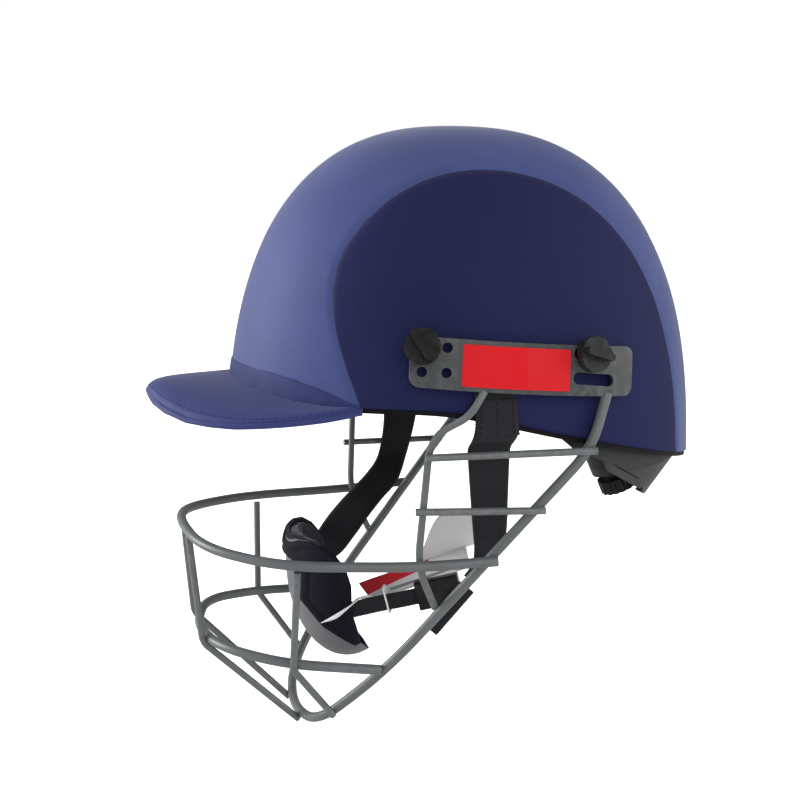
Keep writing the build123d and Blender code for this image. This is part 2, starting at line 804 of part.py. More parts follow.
def ribbon(path, outline):
    """Webbing that follows a path in the front view, trimmed to an outline in the side view."""
    with BuildPart() as webbing:
        with BuildSketch(Plane.XZ):
            with BuildLine():
                FilletPolyline(*path, radius=bend_radii([(x, z, 0) for x, z in path]))
            trace(line_width=strap_thickness)
        extrude(amount=dome_half_width, both=True)
        add(side_block(*outline), mode=Mode.INTERSECT)
    return webbing.part


def beside_dome(z):
    """Distance from the mid-plane of webbing that lies on the helmet's side."""
    return dome_width_at(dome_centre_y, z) + strap_gap + strap_thickness / 2


# Chin straps: down the side, in under the shell's edge, then to the buckle or to the chin cup
strap_head_z = rivet_z + strap_top
strap_head = ((beside_dome(strap_head_z), strap_head_z), (beside_dome(rivet_z / 2), rivet_z / 2))
left_strap_front = (*strap_head, *left_strap_points)
with BuildPart() as strap_left:
    add(ribbon(left_strap_front, left_strap_side))
    add(rivet_hole, mode=Mode.SUBTRACT)
    split(bisect_by=Plane.YZ, keep=Keep.TOP)
keep("chin_strap_left", strap_left.part)

cup_wall = cup_half_width * (1 - ((cup_rear_y - cup_centre_y) / cup_forward) ** 2) ** 0.5
cup_side = cup_wall + cup_strap_gap + strap_thickness / 2
right_strap_front = (*strap_head, *right_strap_points, (cup_side, strap_end_high_z), (cup_side, strap_end_low_z))
with BuildPart() as strap_right:
    add(ribbon(right_strap_front, right_strap_side))
    add(rivet_hole, mode=Mode.SUBTRACT)
    split(bisect_by=Plane.YZ, keep=Keep.TOP)
keep("chin_strap_right", mirrored(strap_right.part))


def cup_block(inset):
    """The solid form that the chin cup wraps: half an egg below, straight above."""
    width = cup_half_width - inset
    forward = cup_forward - inset
    depth = cup_depth - inset
    with BuildPart() as egg:
        with BuildSketch(Plane.XZ):
            with BuildLine():
                ThreePointArc((0, -width), (width * cos(pi / 4), -width * sin(pi / 4)), (width, 0))
                Polyline((width, 0), (0, 0), (0, -width))
            make_face()
        revolve(axis=Axis.Z)
    stretched = scale(egg.part, by=(1, forward / width, depth / width))
    with BuildPart() as upper:
        with BuildSketch(Plane.XY):
            Ellipse(width, forward)
        extrude(amount=cup_upper)
    return (stretched + upper.part).moved(Location((0, cup_centre_y, cup_centre_z)))


# Chin cup: grey moulded shell, cloth cover on its wings, soft pad inside
cup_space = side_block(*cup_outline)
cup_shell_outside = cup_block(cup_cover_thickness)
cup_shell_inside = cup_block(cup_cover_thickness + cup_shell_thickness)
cup_pad_inside = cup_block(cup_cover_thickness + cup_shell_thickness + cup_pad_thickness)

pocket_mouth = Vector(cup_mouth_x, cup_mouth_y, cup_mouth_z)
pocket_line = (Vector(buckle_end_x, buckle_end_y, buckle_end_z) - pocket_mouth).normalized()
pocket_plane = Plane(origin=pocket_mouth, x_dir=(Vector(0, 0, 1) - pocket_line * pocket_line.Z).normalized(), z_dir=pocket_line)
with BuildPart() as strap_pocket:
    with BuildSketch(pocket_plane.offset(-strap_pocket_depth)):
        Rectangle(thin_strap_width + 2 * strap_pocket_gap, thin_strap_thickness + 2 * strap_pocket_gap)
    extrude(amount=strap_pocket_depth + overrun / 4)

with BuildPart() as cup_shell:
    add(cup_shell_outside)
    add(cup_shell_inside, mode=Mode.SUBTRACT)
    add(cup_space, mode=Mode.INTERSECT)
    add(strap_pocket.part, mode=Mode.SUBTRACT)
keep("chin_cup_shell", cup_shell.part)
with BuildPart() as cup_pad:
    add(cup_shell_inside)
    add(cup_pad_inside, mode=Mode.SUBTRACT)
    add(cup_space, mode=Mode.INTERSECT)
    add(strap_pocket.part, mode=Mode.SUBTRACT)
keep("chin_cup_pad", cup_pad.part)
with BuildPart() as cup_cover:
    add(cup_block(0))
    add(cup_shell_outside, mode=Mode.SUBTRACT)
    add(side_block(*cover_outline), mode=Mode.INTERSECT)
    add(strap_pocket.part, mode=Mode.SUBTRACT)
keep("chin_cup_cover", cup_cover.part)

# Thin strap and side-release buckle, all on one straight line out of the cup's pocket
block_plane = pocket_plane.offset(buckle_distance)
mouth_plane = pocket_plane.offset(buckle_distance + buckle_block_length + buckle_mouth_gap)
face_plane = Plane(origin=pocket_plane.origin, x_dir=pocket_plane.z_dir, z_dir=pocket_plane.y_dir)
prong_offset = buckle_width / 2 - buckle_wall - prong_gap - prong_width / 2
with BuildPart() as thin_strap:
    with BuildSketch(pocket_plane.offset(-strap_in_pocket)):
        Rectangle(thin_strap_width, thin_strap_thickness)
    extrude(amount=strap_in_pocket + buckle_distance)
keep("thin_strap", thin_strap.part)

with BuildPart() as tongue:
    with BuildSketch(block_plane):
        RectangleRounded(buckle_width, buckle_thickness, buckle_wall)
    extrude(amount=buckle_block_length)
    with BuildSketch(block_plane.offset(buckle_block_length)):
        with Locations((-prong_offset, 0), (prong_offset, 0)):
            Rectangle(prong_width, prong_width)
    extrude(amount=prong_length)
keep("buckle_tongue", tongue.part)

with BuildPart() as socket:
    with BuildSketch(mouth_plane):
        RectangleRounded(buckle_width, buckle_thickness, buckle_wall)
    extrude(amount=buckle_socket_length)
    with BuildSketch(mouth_plane):
        Rectangle(buckle_width - 2 * buckle_wall, prong_width + 2 * prong_gap)
    extrude(amount=buckle_cavity_depth, mode=Mode.SUBTRACT)
keep("buckle_socket", socket.part)

# Loose ends of the two straps, lying on the buckle's faces and hanging below it
with BuildPart() as tail:
    with BuildSketch(face_plane.offset(buckle_thickness / 2 + tail_gap)):
        with Locations(Location((tail_centre_along, tail_centre_up), tail_turn)):
            RectangleRounded(tail_length, tail_width, buckle_wall)
    extrude(amount=strap_thickness)
keep("strap_tail", tail.part)


def wing_block(inset):
    """A solid that fits inside the shell's rear and draws in below it, for the adjuster's wings."""
    inner = cloth_thickness + shell_thickness + wing_gap + inset
    with BuildPart() as solid:
        add(dome_block(inner))
        with BuildSketch(Plane.XY.offset(bottom_limit_z)):
            Rectangle(3 * dome_half_width, 3 * dome_rear_reach)
        extrude(amount=wing_inset_z - bottom_limit_z, mode=Mode.SUBTRACT)
        with BuildSketch(Plane.XY.offset(wing_foot_z)):
            with Locations((0, dome_centre_y)):
                Ellipse(wing_foot_half_width - inset, wing_foot_reach - inset)
        with BuildSketch(Plane.XY.offset(wing_inset_z)):
            with Locations((0, dome_centre_y)):
                Ellipse(dome_half_width - inner, dome_rear_reach - inner)
        loft(ruled=True)
    return solid.part


# Rear size adjuster: two wings with racks, a barrel with a pinion, and the dial below it
dial_plane = Plane(
    origin=(0, dial_y, dial_z),
    x_dir=(1, 0, 0),
    z_dir=(0, sin(radians(dial_tilt)), -cos(radians(dial_tilt))),
)
wing_outline = (
    (wing_front_y, edge_z(wing_front_y) + wing_overlap / 2), *wing_start_points, (wing_corner_y, wing_low_z),
    (rear_limit_y, wing_low_z), (rear_limit_y, edge_z(rear_limit_y) + wing_overlap),
    (wing_start_points[1][0], edge_z(wing_start_points[1][0]) + wing_overlap),
)
rack_pitch = 2 * pi * pinion_radius / pinion_teeth
rack_offset = pinion_radius + tooth_height / 2 + rack_gap + rack_thickness / 2


def rack_bar(side, across_offset):
    """A straight toothed bar from past the pinion out to the wing, across the helmet."""
    reach = wing_foot_half_width
    row = dial_plane.offset(-pinion_height / 2)
    with BuildPart() as bar:
        with BuildSketch(row):
            with Locations((side * (reach - rack_tail) / 2, across_offset)):
                Rectangle(reach + rack_tail, rack_thickness)
            lift = (rack_thickness + tooth_height) / 2
            inward = -1 if across_offset > 0 else 1
            for index in range(-rack_teeth_inside, rack_teeth_outside):
                with Locations((side * index * rack_pitch - rack_pitch / 4, across_offset + inward * lift)):
                    Rectangle(tooth_width, tooth_height)
        extrude(amount=pinion_height)
    return bar.part


def wing(side, across_offset):
    """One wing of the adjuster with its rack, trimmed to the wing's inner face."""
    with BuildPart() as piece:
        add(wing_outside)
        add(wing_inside, mode=Mode.SUBTRACT)
        add(side_block(*wing_outline), mode=Mode.INTERSECT)
        with BuildSketch(Plane.XY.offset(bottom_limit_z)):
            with Locations((side * (wing_half_gap + dome_half_width / 2), dome_centre_y + dome_rear_reach / 2)):
                Rectangle(dome_half_width, 2 * dome_rear_reach)
        extrude(amount=top_limit_z - bottom_limit_z, mode=Mode.INTERSECT)
        with BuildSketch(dial_plane.offset(barrel_down)):
            with Locations((side * wing_travel / 2, 0)):
                SlotOverall(wing_travel + 2 * (dial_radius + wing_dial_gap), 2 * (dial_radius + wing_dial_gap))
        extrude(amount=dial_neck_gap + dial_neck_length + dial_thickness + wing_dial_gap, mode=Mode.SUBTRACT)
    with BuildPart() as bar:
        add(rack_bar(side, across_offset))
        add(wing_outside, mode=Mode.INTERSECT)
    return piece.part + bar.part


wing_outside = wing_block(0)
wing_inside = wing_block(wing_thickness)
keep("adjuster_wing_left", wing(1, rack_offset))
keep("adjuster_wing_right", wing(-1, -rack_offset))

with BuildPart() as pinion:
    with BuildSketch(dial_plane.offset(-pinion_height / 2)):
        Circle(pinion_radius - tooth_height / 2)
        with PolarLocations(pinion_radius - tooth_height / 2, pinion_teeth):
            Rectangle(2 * tooth_height, tooth_width)
    extrude(amount=pinion_height)
    with BuildSketch(dial_plane.offset(pinion_height / 2)):
        Circle(axle_radius)
    extrude(amount=barrel_down + dial_neck_length + dial_neck_gap - pinion_height / 2)
keep("adjuster_pinion", pinion.part)

with BuildPart() as barrel:
    with BuildSketch(dial_plane.offset(-barrel_up + barrel_wall)):
        Circle(barrel_radius)
    extrude(amount=barrel_up + barrel_down - barrel_wall)
    slot_across = 2 * (rack_offset + rack_thickness / 2 + rack_gap)
    with BuildSketch(dial_plane.offset(-pinion_height / 2 - rack_gap)):
        Rectangle(2 * barrel_radius, slot_across)
    extrude(amount=pinion_height + 2 * rack_gap, mode=Mode.SUBTRACT)
    with BuildSketch(dial_plane):
        Circle(axle_radius + screw_gap)
    extrude(amount=barrel_down + barrel_wall, mode=Mode.SUBTRACT)
keep("adjuster_barrel", barrel.part)

with BuildPart() as barrel_cap:
    with BuildSketch(dial_plane.offset(-barrel_up)):
        Circle(barrel_radius)
    extrude(amount=barrel_wall)
keep("adjuster_cap", barrel_cap.part)

with BuildPart() as dial:
    neck_low = barrel_down + dial_neck_gap
    with BuildSketch(dial_plane.offset(neck_low)):
        Circle(dial_neck_radius)
        Circle(axle_radius, mode=Mode.SUBTRACT)
    extrude(amount=dial_neck_length)
    with BuildSketch(dial_plane.offset(neck_low + dial_neck_length)):
        Circle(dial_radius)
        with PolarLocations(dial_radius + dial_flute_radius / 2, dial_flute_count):
            Circle(dial_flute_radius, mode=Mode.SUBTRACT)
    extrude(amount=dial_thickness)
keep("adjuster_dial", dial.part)

# Hanger that carries the barrel from the inside of the shell
with BuildPart() as hanger:
    add(hanger_strip(0))
    add(shell_inside, mode=Mode.INTERSECT)
    add(peg(dial_plane, barrel_radius, -barrel_up - overrun, barrel_down), mode=Mode.SUBTRACT)
keep("adjuster_hanger", hanger.part)

# Tie of the swing tag: a closed loop round the thin strap and through the card
tie_plane = pocket_plane.offset(buckle_distance * tie_share)


def tie_loop(room):
    """The loop of the tie, or the space for it with some room all round."""
    with BuildPart() as loop:
        with BuildSketch(tie_plane.offset(-tie_wire / 2 - room)):
            with Locations((tie_up, -tie_behind)):
                RectangleRounded(tie_height + 2 * room, tie_width + 2 * room, tie_corner)
                RectangleRounded(
                    tie_height - 2 * tie_wire - 2 * room, tie_width - 2 * tie_wire - 2 * room,
                    tie_corner - tie_wire - room, mode=Mode.SUBTRACT,
                )
        extrude(amount=tie_wire + 2 * room)
    return loop.part


keep("tag_tie", tie_loop(0))

# Swing tag: a plain folded card, one page lying over the thin strap and one standing behind the near strap
tag_edge = Vector(*tag_edge_direction).normalized()
tag_across = Vector(*tag_across_direction)
tag_across = (tag_across - tag_edge * tag_across.dot(tag_edge)).normalized()
tag_corner = tie_plane.origin + tie_plane.x_dir * (thin_strap_width / 2 + tag_lift) - tie_plane.y_dir * tag_behind
lying_plane = Plane(origin=tag_corner, x_dir=tag_edge, z_dir=tag_edge.cross(tag_across))
standing_normal = (Vector(1, 0, 0) - tag_edge * tag_edge.X).normalized()
standing_plane = Plane(origin=tag_corner + tag_across * tag_width, x_dir=tag_edge, z_dir=standing_normal)
with BuildPart() as tag:
    with BuildSketch(lying_plane):
        with BuildLine():
            Polyline(*lying_page, close=True)
        make_face()
    extrude(amount=tag_thickness)
    with BuildSketch(standing_plane):
        with BuildLine():
            Polyline(*standing_page, close=True)
        make_face()
    extrude(amount=tag_thickness)
    add(tie_loop(tag_hole_room), mode=Mode.SUBTRACT)
keep("swing_tag", tag.part)

os.makedirs("parts", exist_ok=True)
for name, solid in nodes.items():
    export_step(solid, f"parts/{name}.step")
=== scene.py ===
"""Looks of the cricket helmet: cloth cover, peak, foam, face guard, straps, chin cup and adjuster.

Lengths in the tables below are in millimetres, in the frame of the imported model.
The wearer looks along -Y, +Z is up and the wearer's left is +X.
"""

import math

import bmesh
import bpy
import numpy as np
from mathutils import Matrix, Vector, noise


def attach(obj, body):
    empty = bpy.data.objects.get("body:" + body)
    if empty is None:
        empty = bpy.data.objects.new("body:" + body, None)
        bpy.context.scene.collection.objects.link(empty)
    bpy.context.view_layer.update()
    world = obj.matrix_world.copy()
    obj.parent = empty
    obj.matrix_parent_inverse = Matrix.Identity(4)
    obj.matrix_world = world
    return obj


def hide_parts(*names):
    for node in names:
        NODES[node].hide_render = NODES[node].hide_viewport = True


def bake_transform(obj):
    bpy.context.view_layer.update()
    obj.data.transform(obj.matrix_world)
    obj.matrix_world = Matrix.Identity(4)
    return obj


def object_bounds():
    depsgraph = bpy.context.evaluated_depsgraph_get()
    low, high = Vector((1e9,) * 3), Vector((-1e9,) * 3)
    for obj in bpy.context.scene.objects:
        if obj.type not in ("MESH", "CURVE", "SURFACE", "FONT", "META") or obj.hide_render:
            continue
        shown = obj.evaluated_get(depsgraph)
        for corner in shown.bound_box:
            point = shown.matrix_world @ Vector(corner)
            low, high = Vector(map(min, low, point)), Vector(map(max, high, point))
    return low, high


bl_info = {
    "name": "Cricket Helmet",
    "version": (1, 0, 0),
    "blender": (4, 5, 0),
    "location": "3D Viewport > Sidebar > Helmet",
    "description": "Builds the soft and detailed pieces of a cricket helmet over its rigid parts",
    "category": "Object",
}

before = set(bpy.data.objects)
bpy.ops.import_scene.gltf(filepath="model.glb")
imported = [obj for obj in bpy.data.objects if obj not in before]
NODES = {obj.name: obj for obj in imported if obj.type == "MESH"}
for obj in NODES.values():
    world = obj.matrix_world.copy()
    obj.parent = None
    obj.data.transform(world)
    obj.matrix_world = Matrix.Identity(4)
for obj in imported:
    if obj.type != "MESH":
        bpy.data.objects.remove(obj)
CAD_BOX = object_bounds()
MM = 0.001
SIDES = ((1, "left"), (-1, "right"))
UPWARD = np.array([0.0, 0.0, 1.0])
OUTWARD_LEFT = np.array([1.0, 0.0, 0.0])

# Dome of the helmet, as in the rigid model
DOME_WIDTH, DOME_FRONT, DOME_REAR, DOME_RISE = 104.0, 117.3, 130.0, 174.9
DOME_CENTRE_Y, DOME_BASE_Z, DOME_POWER = 26.5, -31.5, 2.47
EDGE_FRONT_Z, EDGE_BEND_Y, EDGE_BEND_RADIUS, EDGE_SLOPE = 10.6, 2.0, 160.0, 14.2
SEAM_WIDTH, FLARE_WIDTH, FLARE_LOW, FLARE_TOP = 62.5, 85.8, 9.6, 90.0
FLARE_KNOTS = ((0.0, 1.0), (0.32, 0.62), (0.62, 0.24), (1.0, 0.0))
SEAM_ROLL, SEAM_ROLL_WIDTH, SEAM_STITCH_GAP, FOLDS_TOP_Z, FOLDS_FADE = 0.75, 1.6, 2.6, 120.0, 60.0

# Foam liner, its channels and the pads on it
LINER_OUTER_INSET, LINER_INSET, LINER_GAP, LINER_LIP_DROP = 4.15, 19.0, 4.0, 1.6
LINER_REAR_Y, LINER_REAR_RUN, LINER_REAR_RISE = 38.0, 17.0, 13.0
CHANNEL_COUNT, CHANNEL_DEPTH, CHANNEL_Z, CHANNEL_WIDTH = 8, 2.4, 66.0, 2.6
PAD_DEPTH, QUILT_PLACE, QUILT_WIDTH = 5.8, 0.36, 0.035

# Front band, and its folds as place, lean, width and depth
BAND_LIFT, BAND_TOP_Z, BAND_END_Y, BAND_BOW = 1.2, 26.1, -38.0, 3.5
BAND_FULL_HEIGHT, BAND_STITCH_DROP = 6.0, 2.2
BAND_FOLDS = (
    (0.1, 0.05, 0.014, 0.3),
    (0.19, -0.06, 0.018, 0.42),
    (0.3, 0.07, 0.014, 0.32),
    (0.44, -0.08, 0.022, 0.34),
    (0.62, 0.1, 0.022, 0.25),
)

# Peak, with the share of its drop at each share of its reach
PEAK_WIDTH, PEAK_ROOT_Y, PEAK_REACH, PEAK_CROWN_Z = 87.0, -38.0, 96.0, 17.2
PEAK_DROP, PEAK_DEPTH, PEAK_LENGTH_POWER, PEAK_WIDTH_POWER = 13.6, 4.6, 2.5, 1.7
PEAK_STATIONS = (0.0, 0.17, 0.33, 0.48, 0.61, 0.72, 0.83, 0.925, 0.975, 0.995, 1.0)
PEAK_DROPS = (0.42, 0.62, 0.76, 0.88, 0.98, 1.0, 0.97, 0.74, 0.44, 0.16, 0.02)
PEAK_ROLL, PEAK_TIP_ROLL, PEAK_ROLL_WIDTH, PEAK_NOSE = 12.0, 4.5, 40.0, 1.6
PEAK_SEAT_Z, PEAK_TIP_FALL, PEAK_FACE_RUN = 13.0, 3.2, 95.0
CREASE_TURN, CREASE_WIDTH, CREASE_DEPTH, RIM_STITCH_TURN = 0.55, 0.11, 1.0, 0.85

# Chin cup, as the lower half of an ellipsoid with a straight skirt above it
CUP_CENTRE_Y, CUP_CENTRE_Z, CUP_WIDTH, CUP_FORWARD, CUP_DEPTH = -30.0, -86.0, 39.0, 33.5, 53.5
CUP_EDGE, CUP_SKIRT, CUP_LINED_BELOW = 1.15, 24.0, 0.82
CUP_COVER_DEPTH, CUP_PAD_INSET, CUP_PAD_DEPTH = 1.1, 8.2, 4.3

# Edges of the printed fields of the tag, along it and across it, and of the label's paler end
CARD_RED_END, CARD_RED_EDGE, CARD_RED_SLOPE = 37.0, 7.5, 0.2
CARD_GREY_LOW, CARD_GREY_HIGH, CARD_GREY_START = 3.5, 6.2, 12.0
LABEL_END_Y = 36.2

# One stitch as rings: share of its length, share of its radius, lift
STITCH_RINGS = ((0.0, 0.35, -0.35), (0.2, 1.0, 0.25), (0.8, 1.0, 0.25), (1.0, 0.35, -0.35))
STITCH_SIDES = 6


# Shape of the dome


def unit(vectors):
    """Vectors of length one along the given ones."""
    return vectors / np.clip(np.linalg.norm(vectors, axis=-1, keepdims=True), 1e-9, None)


def bisect(high, holds, rounds=30):
    """For each entry, the largest value between zero and high at which a test still holds."""
    low = np.zeros_like(high)
    for _ in range(rounds):
        middle = (low + high) / 2
        held = holds(middle)
        low, high = np.where(held, middle, low), np.where(held, high, middle)
    return low


def reach_at(y, inset=0.0):
    """Reach of the dome from its centre, in front or behind."""
    return np.where(y < DOME_CENTRE_Y, DOME_FRONT, DOME_REAR) - inset


def plan_share(z, inset=0.0):
    """Size of the dome's plan at one height, as a share of its base."""
    height = np.clip((z - DOME_BASE_Z) / (DOME_RISE - inset), 0, 1)
    return (1 - height**DOME_POWER) ** (1 / DOME_POWER)


def dome_width(y, z, inset=0.0):
    """Half width of the dome at one place along Y and one height."""
    inside = plan_share(z, inset) ** 2 - ((y - DOME_CENTRE_Y) / reach_at(y, inset)) ** 2
    return (DOME_WIDTH - inset) * np.sqrt(np.clip(inside, 0, None))


def dome_face(x, z, inset=0.0, front=True):
    """Y of the dome's front or rear at one place along X and one height."""
    inside = plan_share(z, inset) ** 2 - (x / (DOME_WIDTH - inset)) ** 2
    reach = inset - DOME_FRONT if front else DOME_REAR - inset
    return DOME_CENTRE_Y + reach * np.sqrt(np.clip(inside, 0, None))


def dome_top(x, y, inset=0.0):
    """Height of the dome at one place in plan."""
    plan = np.sqrt((x / (DOME_WIDTH - inset)) ** 2 + ((y - DOME_CENTRE_Y) / reach_at(y, inset)) ** 2)
    return DOME_BASE_Z + (DOME_RISE - inset) * (1 - plan**DOME_POWER) ** (1 / DOME_POWER)


def dome_section(x, turn):
    """Y and Z on the dome in the plane at x; turn 0 looks ahead and pi looks back."""
    x, turn = np.broadcast_arrays(np.asarray(x, float), np.asarray(turn, float))
    across, ahead, up = np.abs(x) / DOME_WIDTH, np.cos(turn), np.sin(turn)

    def within(share):
        plan = (across**2 + (share * ahead) ** 2) ** (DOME_POWER / 2)
        return plan + (share * np.clip(up, 0, None)) ** DOME_POWER < 1

    share = bisect(np.full_like(across, 1.1), within, 36)
    reach = np.where(turn < math.pi / 2, DOME_FRONT, DOME_REAR)
    return DOME_CENTRE_Y - reach * share * ahead, DOME_BASE_Z + DOME_RISE * share * up


def dome_ring(turn, rise, inset=0.0):
    """Point of the dome at one turn round the plan and one rise angle from its base."""
    plan = np.cos(rise) ** (2 / DOME_POWER)
    height = np.sin(rise) ** (2 / DOME_POWER)
    reach = np.where(np.cos(turn) > 0, DOME_FRONT, DOME_REAR) - inset
    x = (DOME_WIDTH - inset) * plan * np.sin(turn)
    y = DOME_CENTRE_Y - reach * plan * np.cos(turn)
    return np.stack([x, y, DOME_BASE_Z + (DOME_RISE - inset) * height], axis=-1)


def edge_height(y):
    """Height of the shell's lower edge, with its long bend at the ear."""
    slope = math.radians(EDGE_SLOPE)
    start = EDGE_BEND_Y - EDGE_BEND_RADIUS * math.tan(slope / 2)
    end = start + EDGE_BEND_RADIUS * math.sin(slope)
    y = np.asarray(y, float)
    rise = np.clip(EDGE_BEND_RADIUS**2 - np.clip(y - start, 0, EDGE_BEND_RADIUS) ** 2, 0, None)
    bend = EDGE_FRONT_Z - EDGE_BEND_RADIUS + np.sqrt(rise)
    straight = EDGE_FRONT_Z - (y - EDGE_BEND_Y) * math.tan(slope)
    return np.where(y < start, EDGE_FRONT_Z, np.where(y < end, bend, straight))


def edge_turn(x, front):
    """The turn at which the section at x meets the lower edge, in front or behind."""
    x = np.asarray(x, float)

    def below(turn):
        y, z = dome_section(x, turn if front else math.pi - turn)
        return z < edge_height(y)

    turn = bisect(np.full_like(x, math.pi / 2), below)
    return turn if front else math.pi - turn


def panel_turn(x, share):
    """The turn at a share of the way over the dome, from the front edge to the rear one."""
    return edge_turn(x, True) * (1 - share) + edge_turn(x, False) * share


def flare(z):
    """Half width of the crown panel in front at one height, by a cubic through four places."""
    t = np.clip((z - FLARE_LOW) / (FLARE_TOP - FLARE_LOW), 0, 1)
    share = np.zeros_like(t)
    for knot, value in FLARE_KNOTS:
        others = [other for other, _ in FLARE_KNOTS if other != knot]
        share += value * math.prod((t - other) / (knot - other) for other in others)
    return SEAM_WIDTH + (FLARE_WIDTH - SEAM_WIDTH) * share


def seam_line(count):
    """Points of the left seam, from the ear in front over the dome to the rear edge."""
    share = np.linspace(0, 1, count)
    width = np.full(count, SEAM_WIDTH)
    for _ in range(12):
        turn = panel_turn(width, share)
        y, z = dome_section(width, turn)
        width = np.where(turn < math.pi / 2, flare(z), SEAM_WIDTH)
    return np.stack([width, y, z], axis=-1)


def outward(points):
    """Unit normals of the dome at some points, out of the cloth."""
    reach = reach_at(points[..., 1])
    x = points[..., 0] / DOME_WIDTH
    y = (points[..., 1] - DOME_CENTRE_Y) / reach
    plan = np.clip(x**2 + y**2, 1e-9, None) ** (DOME_POWER / 2 - 1)
    height = np.clip((points[..., 2] - DOME_BASE_Z) / DOME_RISE, 0, None) ** (DOME_POWER - 1)
    return unit(np.stack([plan * x / DOME_WIDTH, plan * y / reach, height / DOME_RISE], axis=-1))


# Mesh tools


def lumps(points, size, seed):
    """Smooth noise between -1 and 1 at each point."""
    places = points.reshape(-1, 3) / size + np.array([seed, -seed, 2 * seed])
    return np.array([noise.noise(Vector(place)) for place in places]).reshape(points.shape[:-1])


def dent(gap, width):
    """A smooth dent of depth one, which fades over a width."""
    return np.exp(-((gap / width) ** 2))


def along(points):
    """Distance along a row of points from its first one."""
    steps = np.linalg.norm(np.diff(points, axis=0), axis=-1)
    return np.concatenate([[0.0], np.cumsum(steps)])


def sample(points, length, at):
    """Points at given distances along a row whose own distances are given too."""
    return np.stack([np.interp(at, length, column) for column in points.T], axis=-1)


def link_object(name, data):
    """A new object in the scene."""
    made = bpy.data.objects.new(name, data)
    bpy.context.scene.collection.objects.link(made)
    return made


def bmesh_object(name, mesh):
    """A smooth piece from a finished bmesh."""
    data = bpy.data.meshes.new(name)
    mesh.to_mesh(data)
    mesh.free()
    data.shade_smooth()
    return link_object(name, data)


def grid_object(name, points, loop=False, flip=False, caps=False):
    """A smooth sheet of faces over a grid of points, with UVs in metres along both ways."""
    rows, columns = points.shape[:2]
    faces = []
    for start in range(0, (rows - 1) * columns, columns):
        for j in range(columns if loop else columns - 1):
            k = (j + 1) % columns
            faces.append((start + j, start + k, start + columns + k, start + columns + j))
    if caps:
        last = (rows - 1) * columns
        faces += [tuple(range(columns))[::-1], tuple(range(last, last + columns))]
    if flip:
        faces = [face[::-1] for face in faces]
    mesh = bpy.data.meshes.new(name)
    mesh.from_pydata((points.reshape(-1, 3) * MM).tolist(), [], faces)
    u, v = along(points[rows // 2]) * MM, along(points[:, columns // 2]) * MM
    u = np.append(u, 2 * u[-1] - u[-2])
    values = np.zeros((len(mesh.loops), 2))
    for polygon in mesh.polygons:
        spots = [divmod(index, columns) for index in polygon.vertices]
        wraps = loop and len(spots) == 4 and {0, columns - 1} <= {j for _, j in spots}
        for corner, (i, j) in zip(polygon.loop_indices, spots):
            values[corner] = (u[columns if wraps and j == 0 else j], v[i])
    mesh.uv_layers.new(name="cloth").data.foreach_set("uv", values.ravel())
    mesh.shade_smooth()
    return link_object(name, mesh)


def smooth_row(points, spacing):
    """Even points on a smooth curve through the given ones."""
    points = np.asarray(points, float)
    ends = np.vstack([2 * points[0] - points[1], points, 2 * points[-1] - points[-2]])
    curve = []
    for a, b, c, d in zip(ends, ends[1:], ends[2:], ends[3:]):
        for t in np.linspace(0, 1, 24, endpoint=False):
            bend = (2 * a - 5 * b + 4 * c - d) * t**2 + (3 * b - a - 3 * c + d) * t**3
            curve.append((2 * b + (c - a) * t + bend) / 2)
    curve = np.array([*curve, points[-1]])
    length = along(curve)
    return sample(curve, length, np.linspace(0, length[-1], max(int(length[-1] / spacing), 4)))


def ribbon_object(name, edges, depth, serration=0.14):
    """Webbing between two edge lines given as rows of six numbers, with a woven edge."""
    rows = smooth_row(edges, 1.1)
    left, right = rows[:, :3], rows[:, 3:]
    middle, across = (left + right) / 2, right - left
    normal = unit(np.cross(np.gradient(middle, axis=0), across))
    half = np.linalg.norm(across, axis=1, keepdims=True) / 2
    notch = serration * np.cos(np.arange(len(rows)) * math.pi)[:, None]
    profile = [(k, 0.5 * (1 - abs(k) ** 7) ** 0.5) for k in np.linspace(-1, 1, 15)]
    profile += [(k, -h) for k, h in profile[-2:0:-1]]
    ring = [
        middle + unit(across) * (k * (half + notch * abs(k) ** 5)) + normal * (h * depth)
        for k, h in profile
    ]
    return grid_object(name, np.stack(ring, axis=1), loop=True, caps=True)


def stitch_object(name, line, normals, length=2.4, gap=1.1, radius=0.28, sink=0.0):
    """A row of thread stitches laid along a line."""
    at = along(line)
    count = max(int(at[-1] / (length + gap)), 2)
    mesh = bmesh.new()
    for start in np.linspace(gap, at[-1] - length - gap, count):
        first, last = [Vector(spot) for spot in sample(line, at, [start, start + length])]
        up = Vector(sample(normals, at, start + length / 2)).normalized()
        side = (last - first).normalized().cross(up).normalized()
        rings = []
        for share, size, lift in STITCH_RINGS:
            centre = first.lerp(last, share) + up * (radius * (lift + 0.4) - sink)
            turns = [math.tau * k / STITCH_SIDES for k in range(STITCH_SIDES)]
            spokes = [(side * math.cos(t) + up * math.sin(t)) * radius * size for t in turns]
            rings.append([mesh.verts.new((centre + spoke) * MM) for spoke in spokes])
        for ring, after in zip(rings, rings[1:]):
            for k in range(-1, STITCH_SIDES - 1):
                mesh.faces.new((ring[k], ring[k + 1], after[k + 1], after[k]))
        mesh.faces.new(rings[0][::-1])
        mesh.faces.new(rings[-1])
    return bmesh_object(name, mesh)


def thicken(piece, depth, offset=-1.0):
    """Gives a sheet a real thickness, inwards from its outer face."""
    solid = piece.modifiers.new("thickness", "SOLIDIFY")
    solid.thickness, solid.offset = depth * MM, offset
    solid.use_even_offset = True
    return piece


def soften(piece, name, rounds):
    """Evens out a sheet's points."""
    smooth = piece.modifiers.new(name, "SMOOTH")
    smooth.factor, smooth.iterations = 0.5, rounds


def set_material(piece, material):
    piece.data.materials.clear()
    piece.data.materials.append(bpy.data.materials[material])


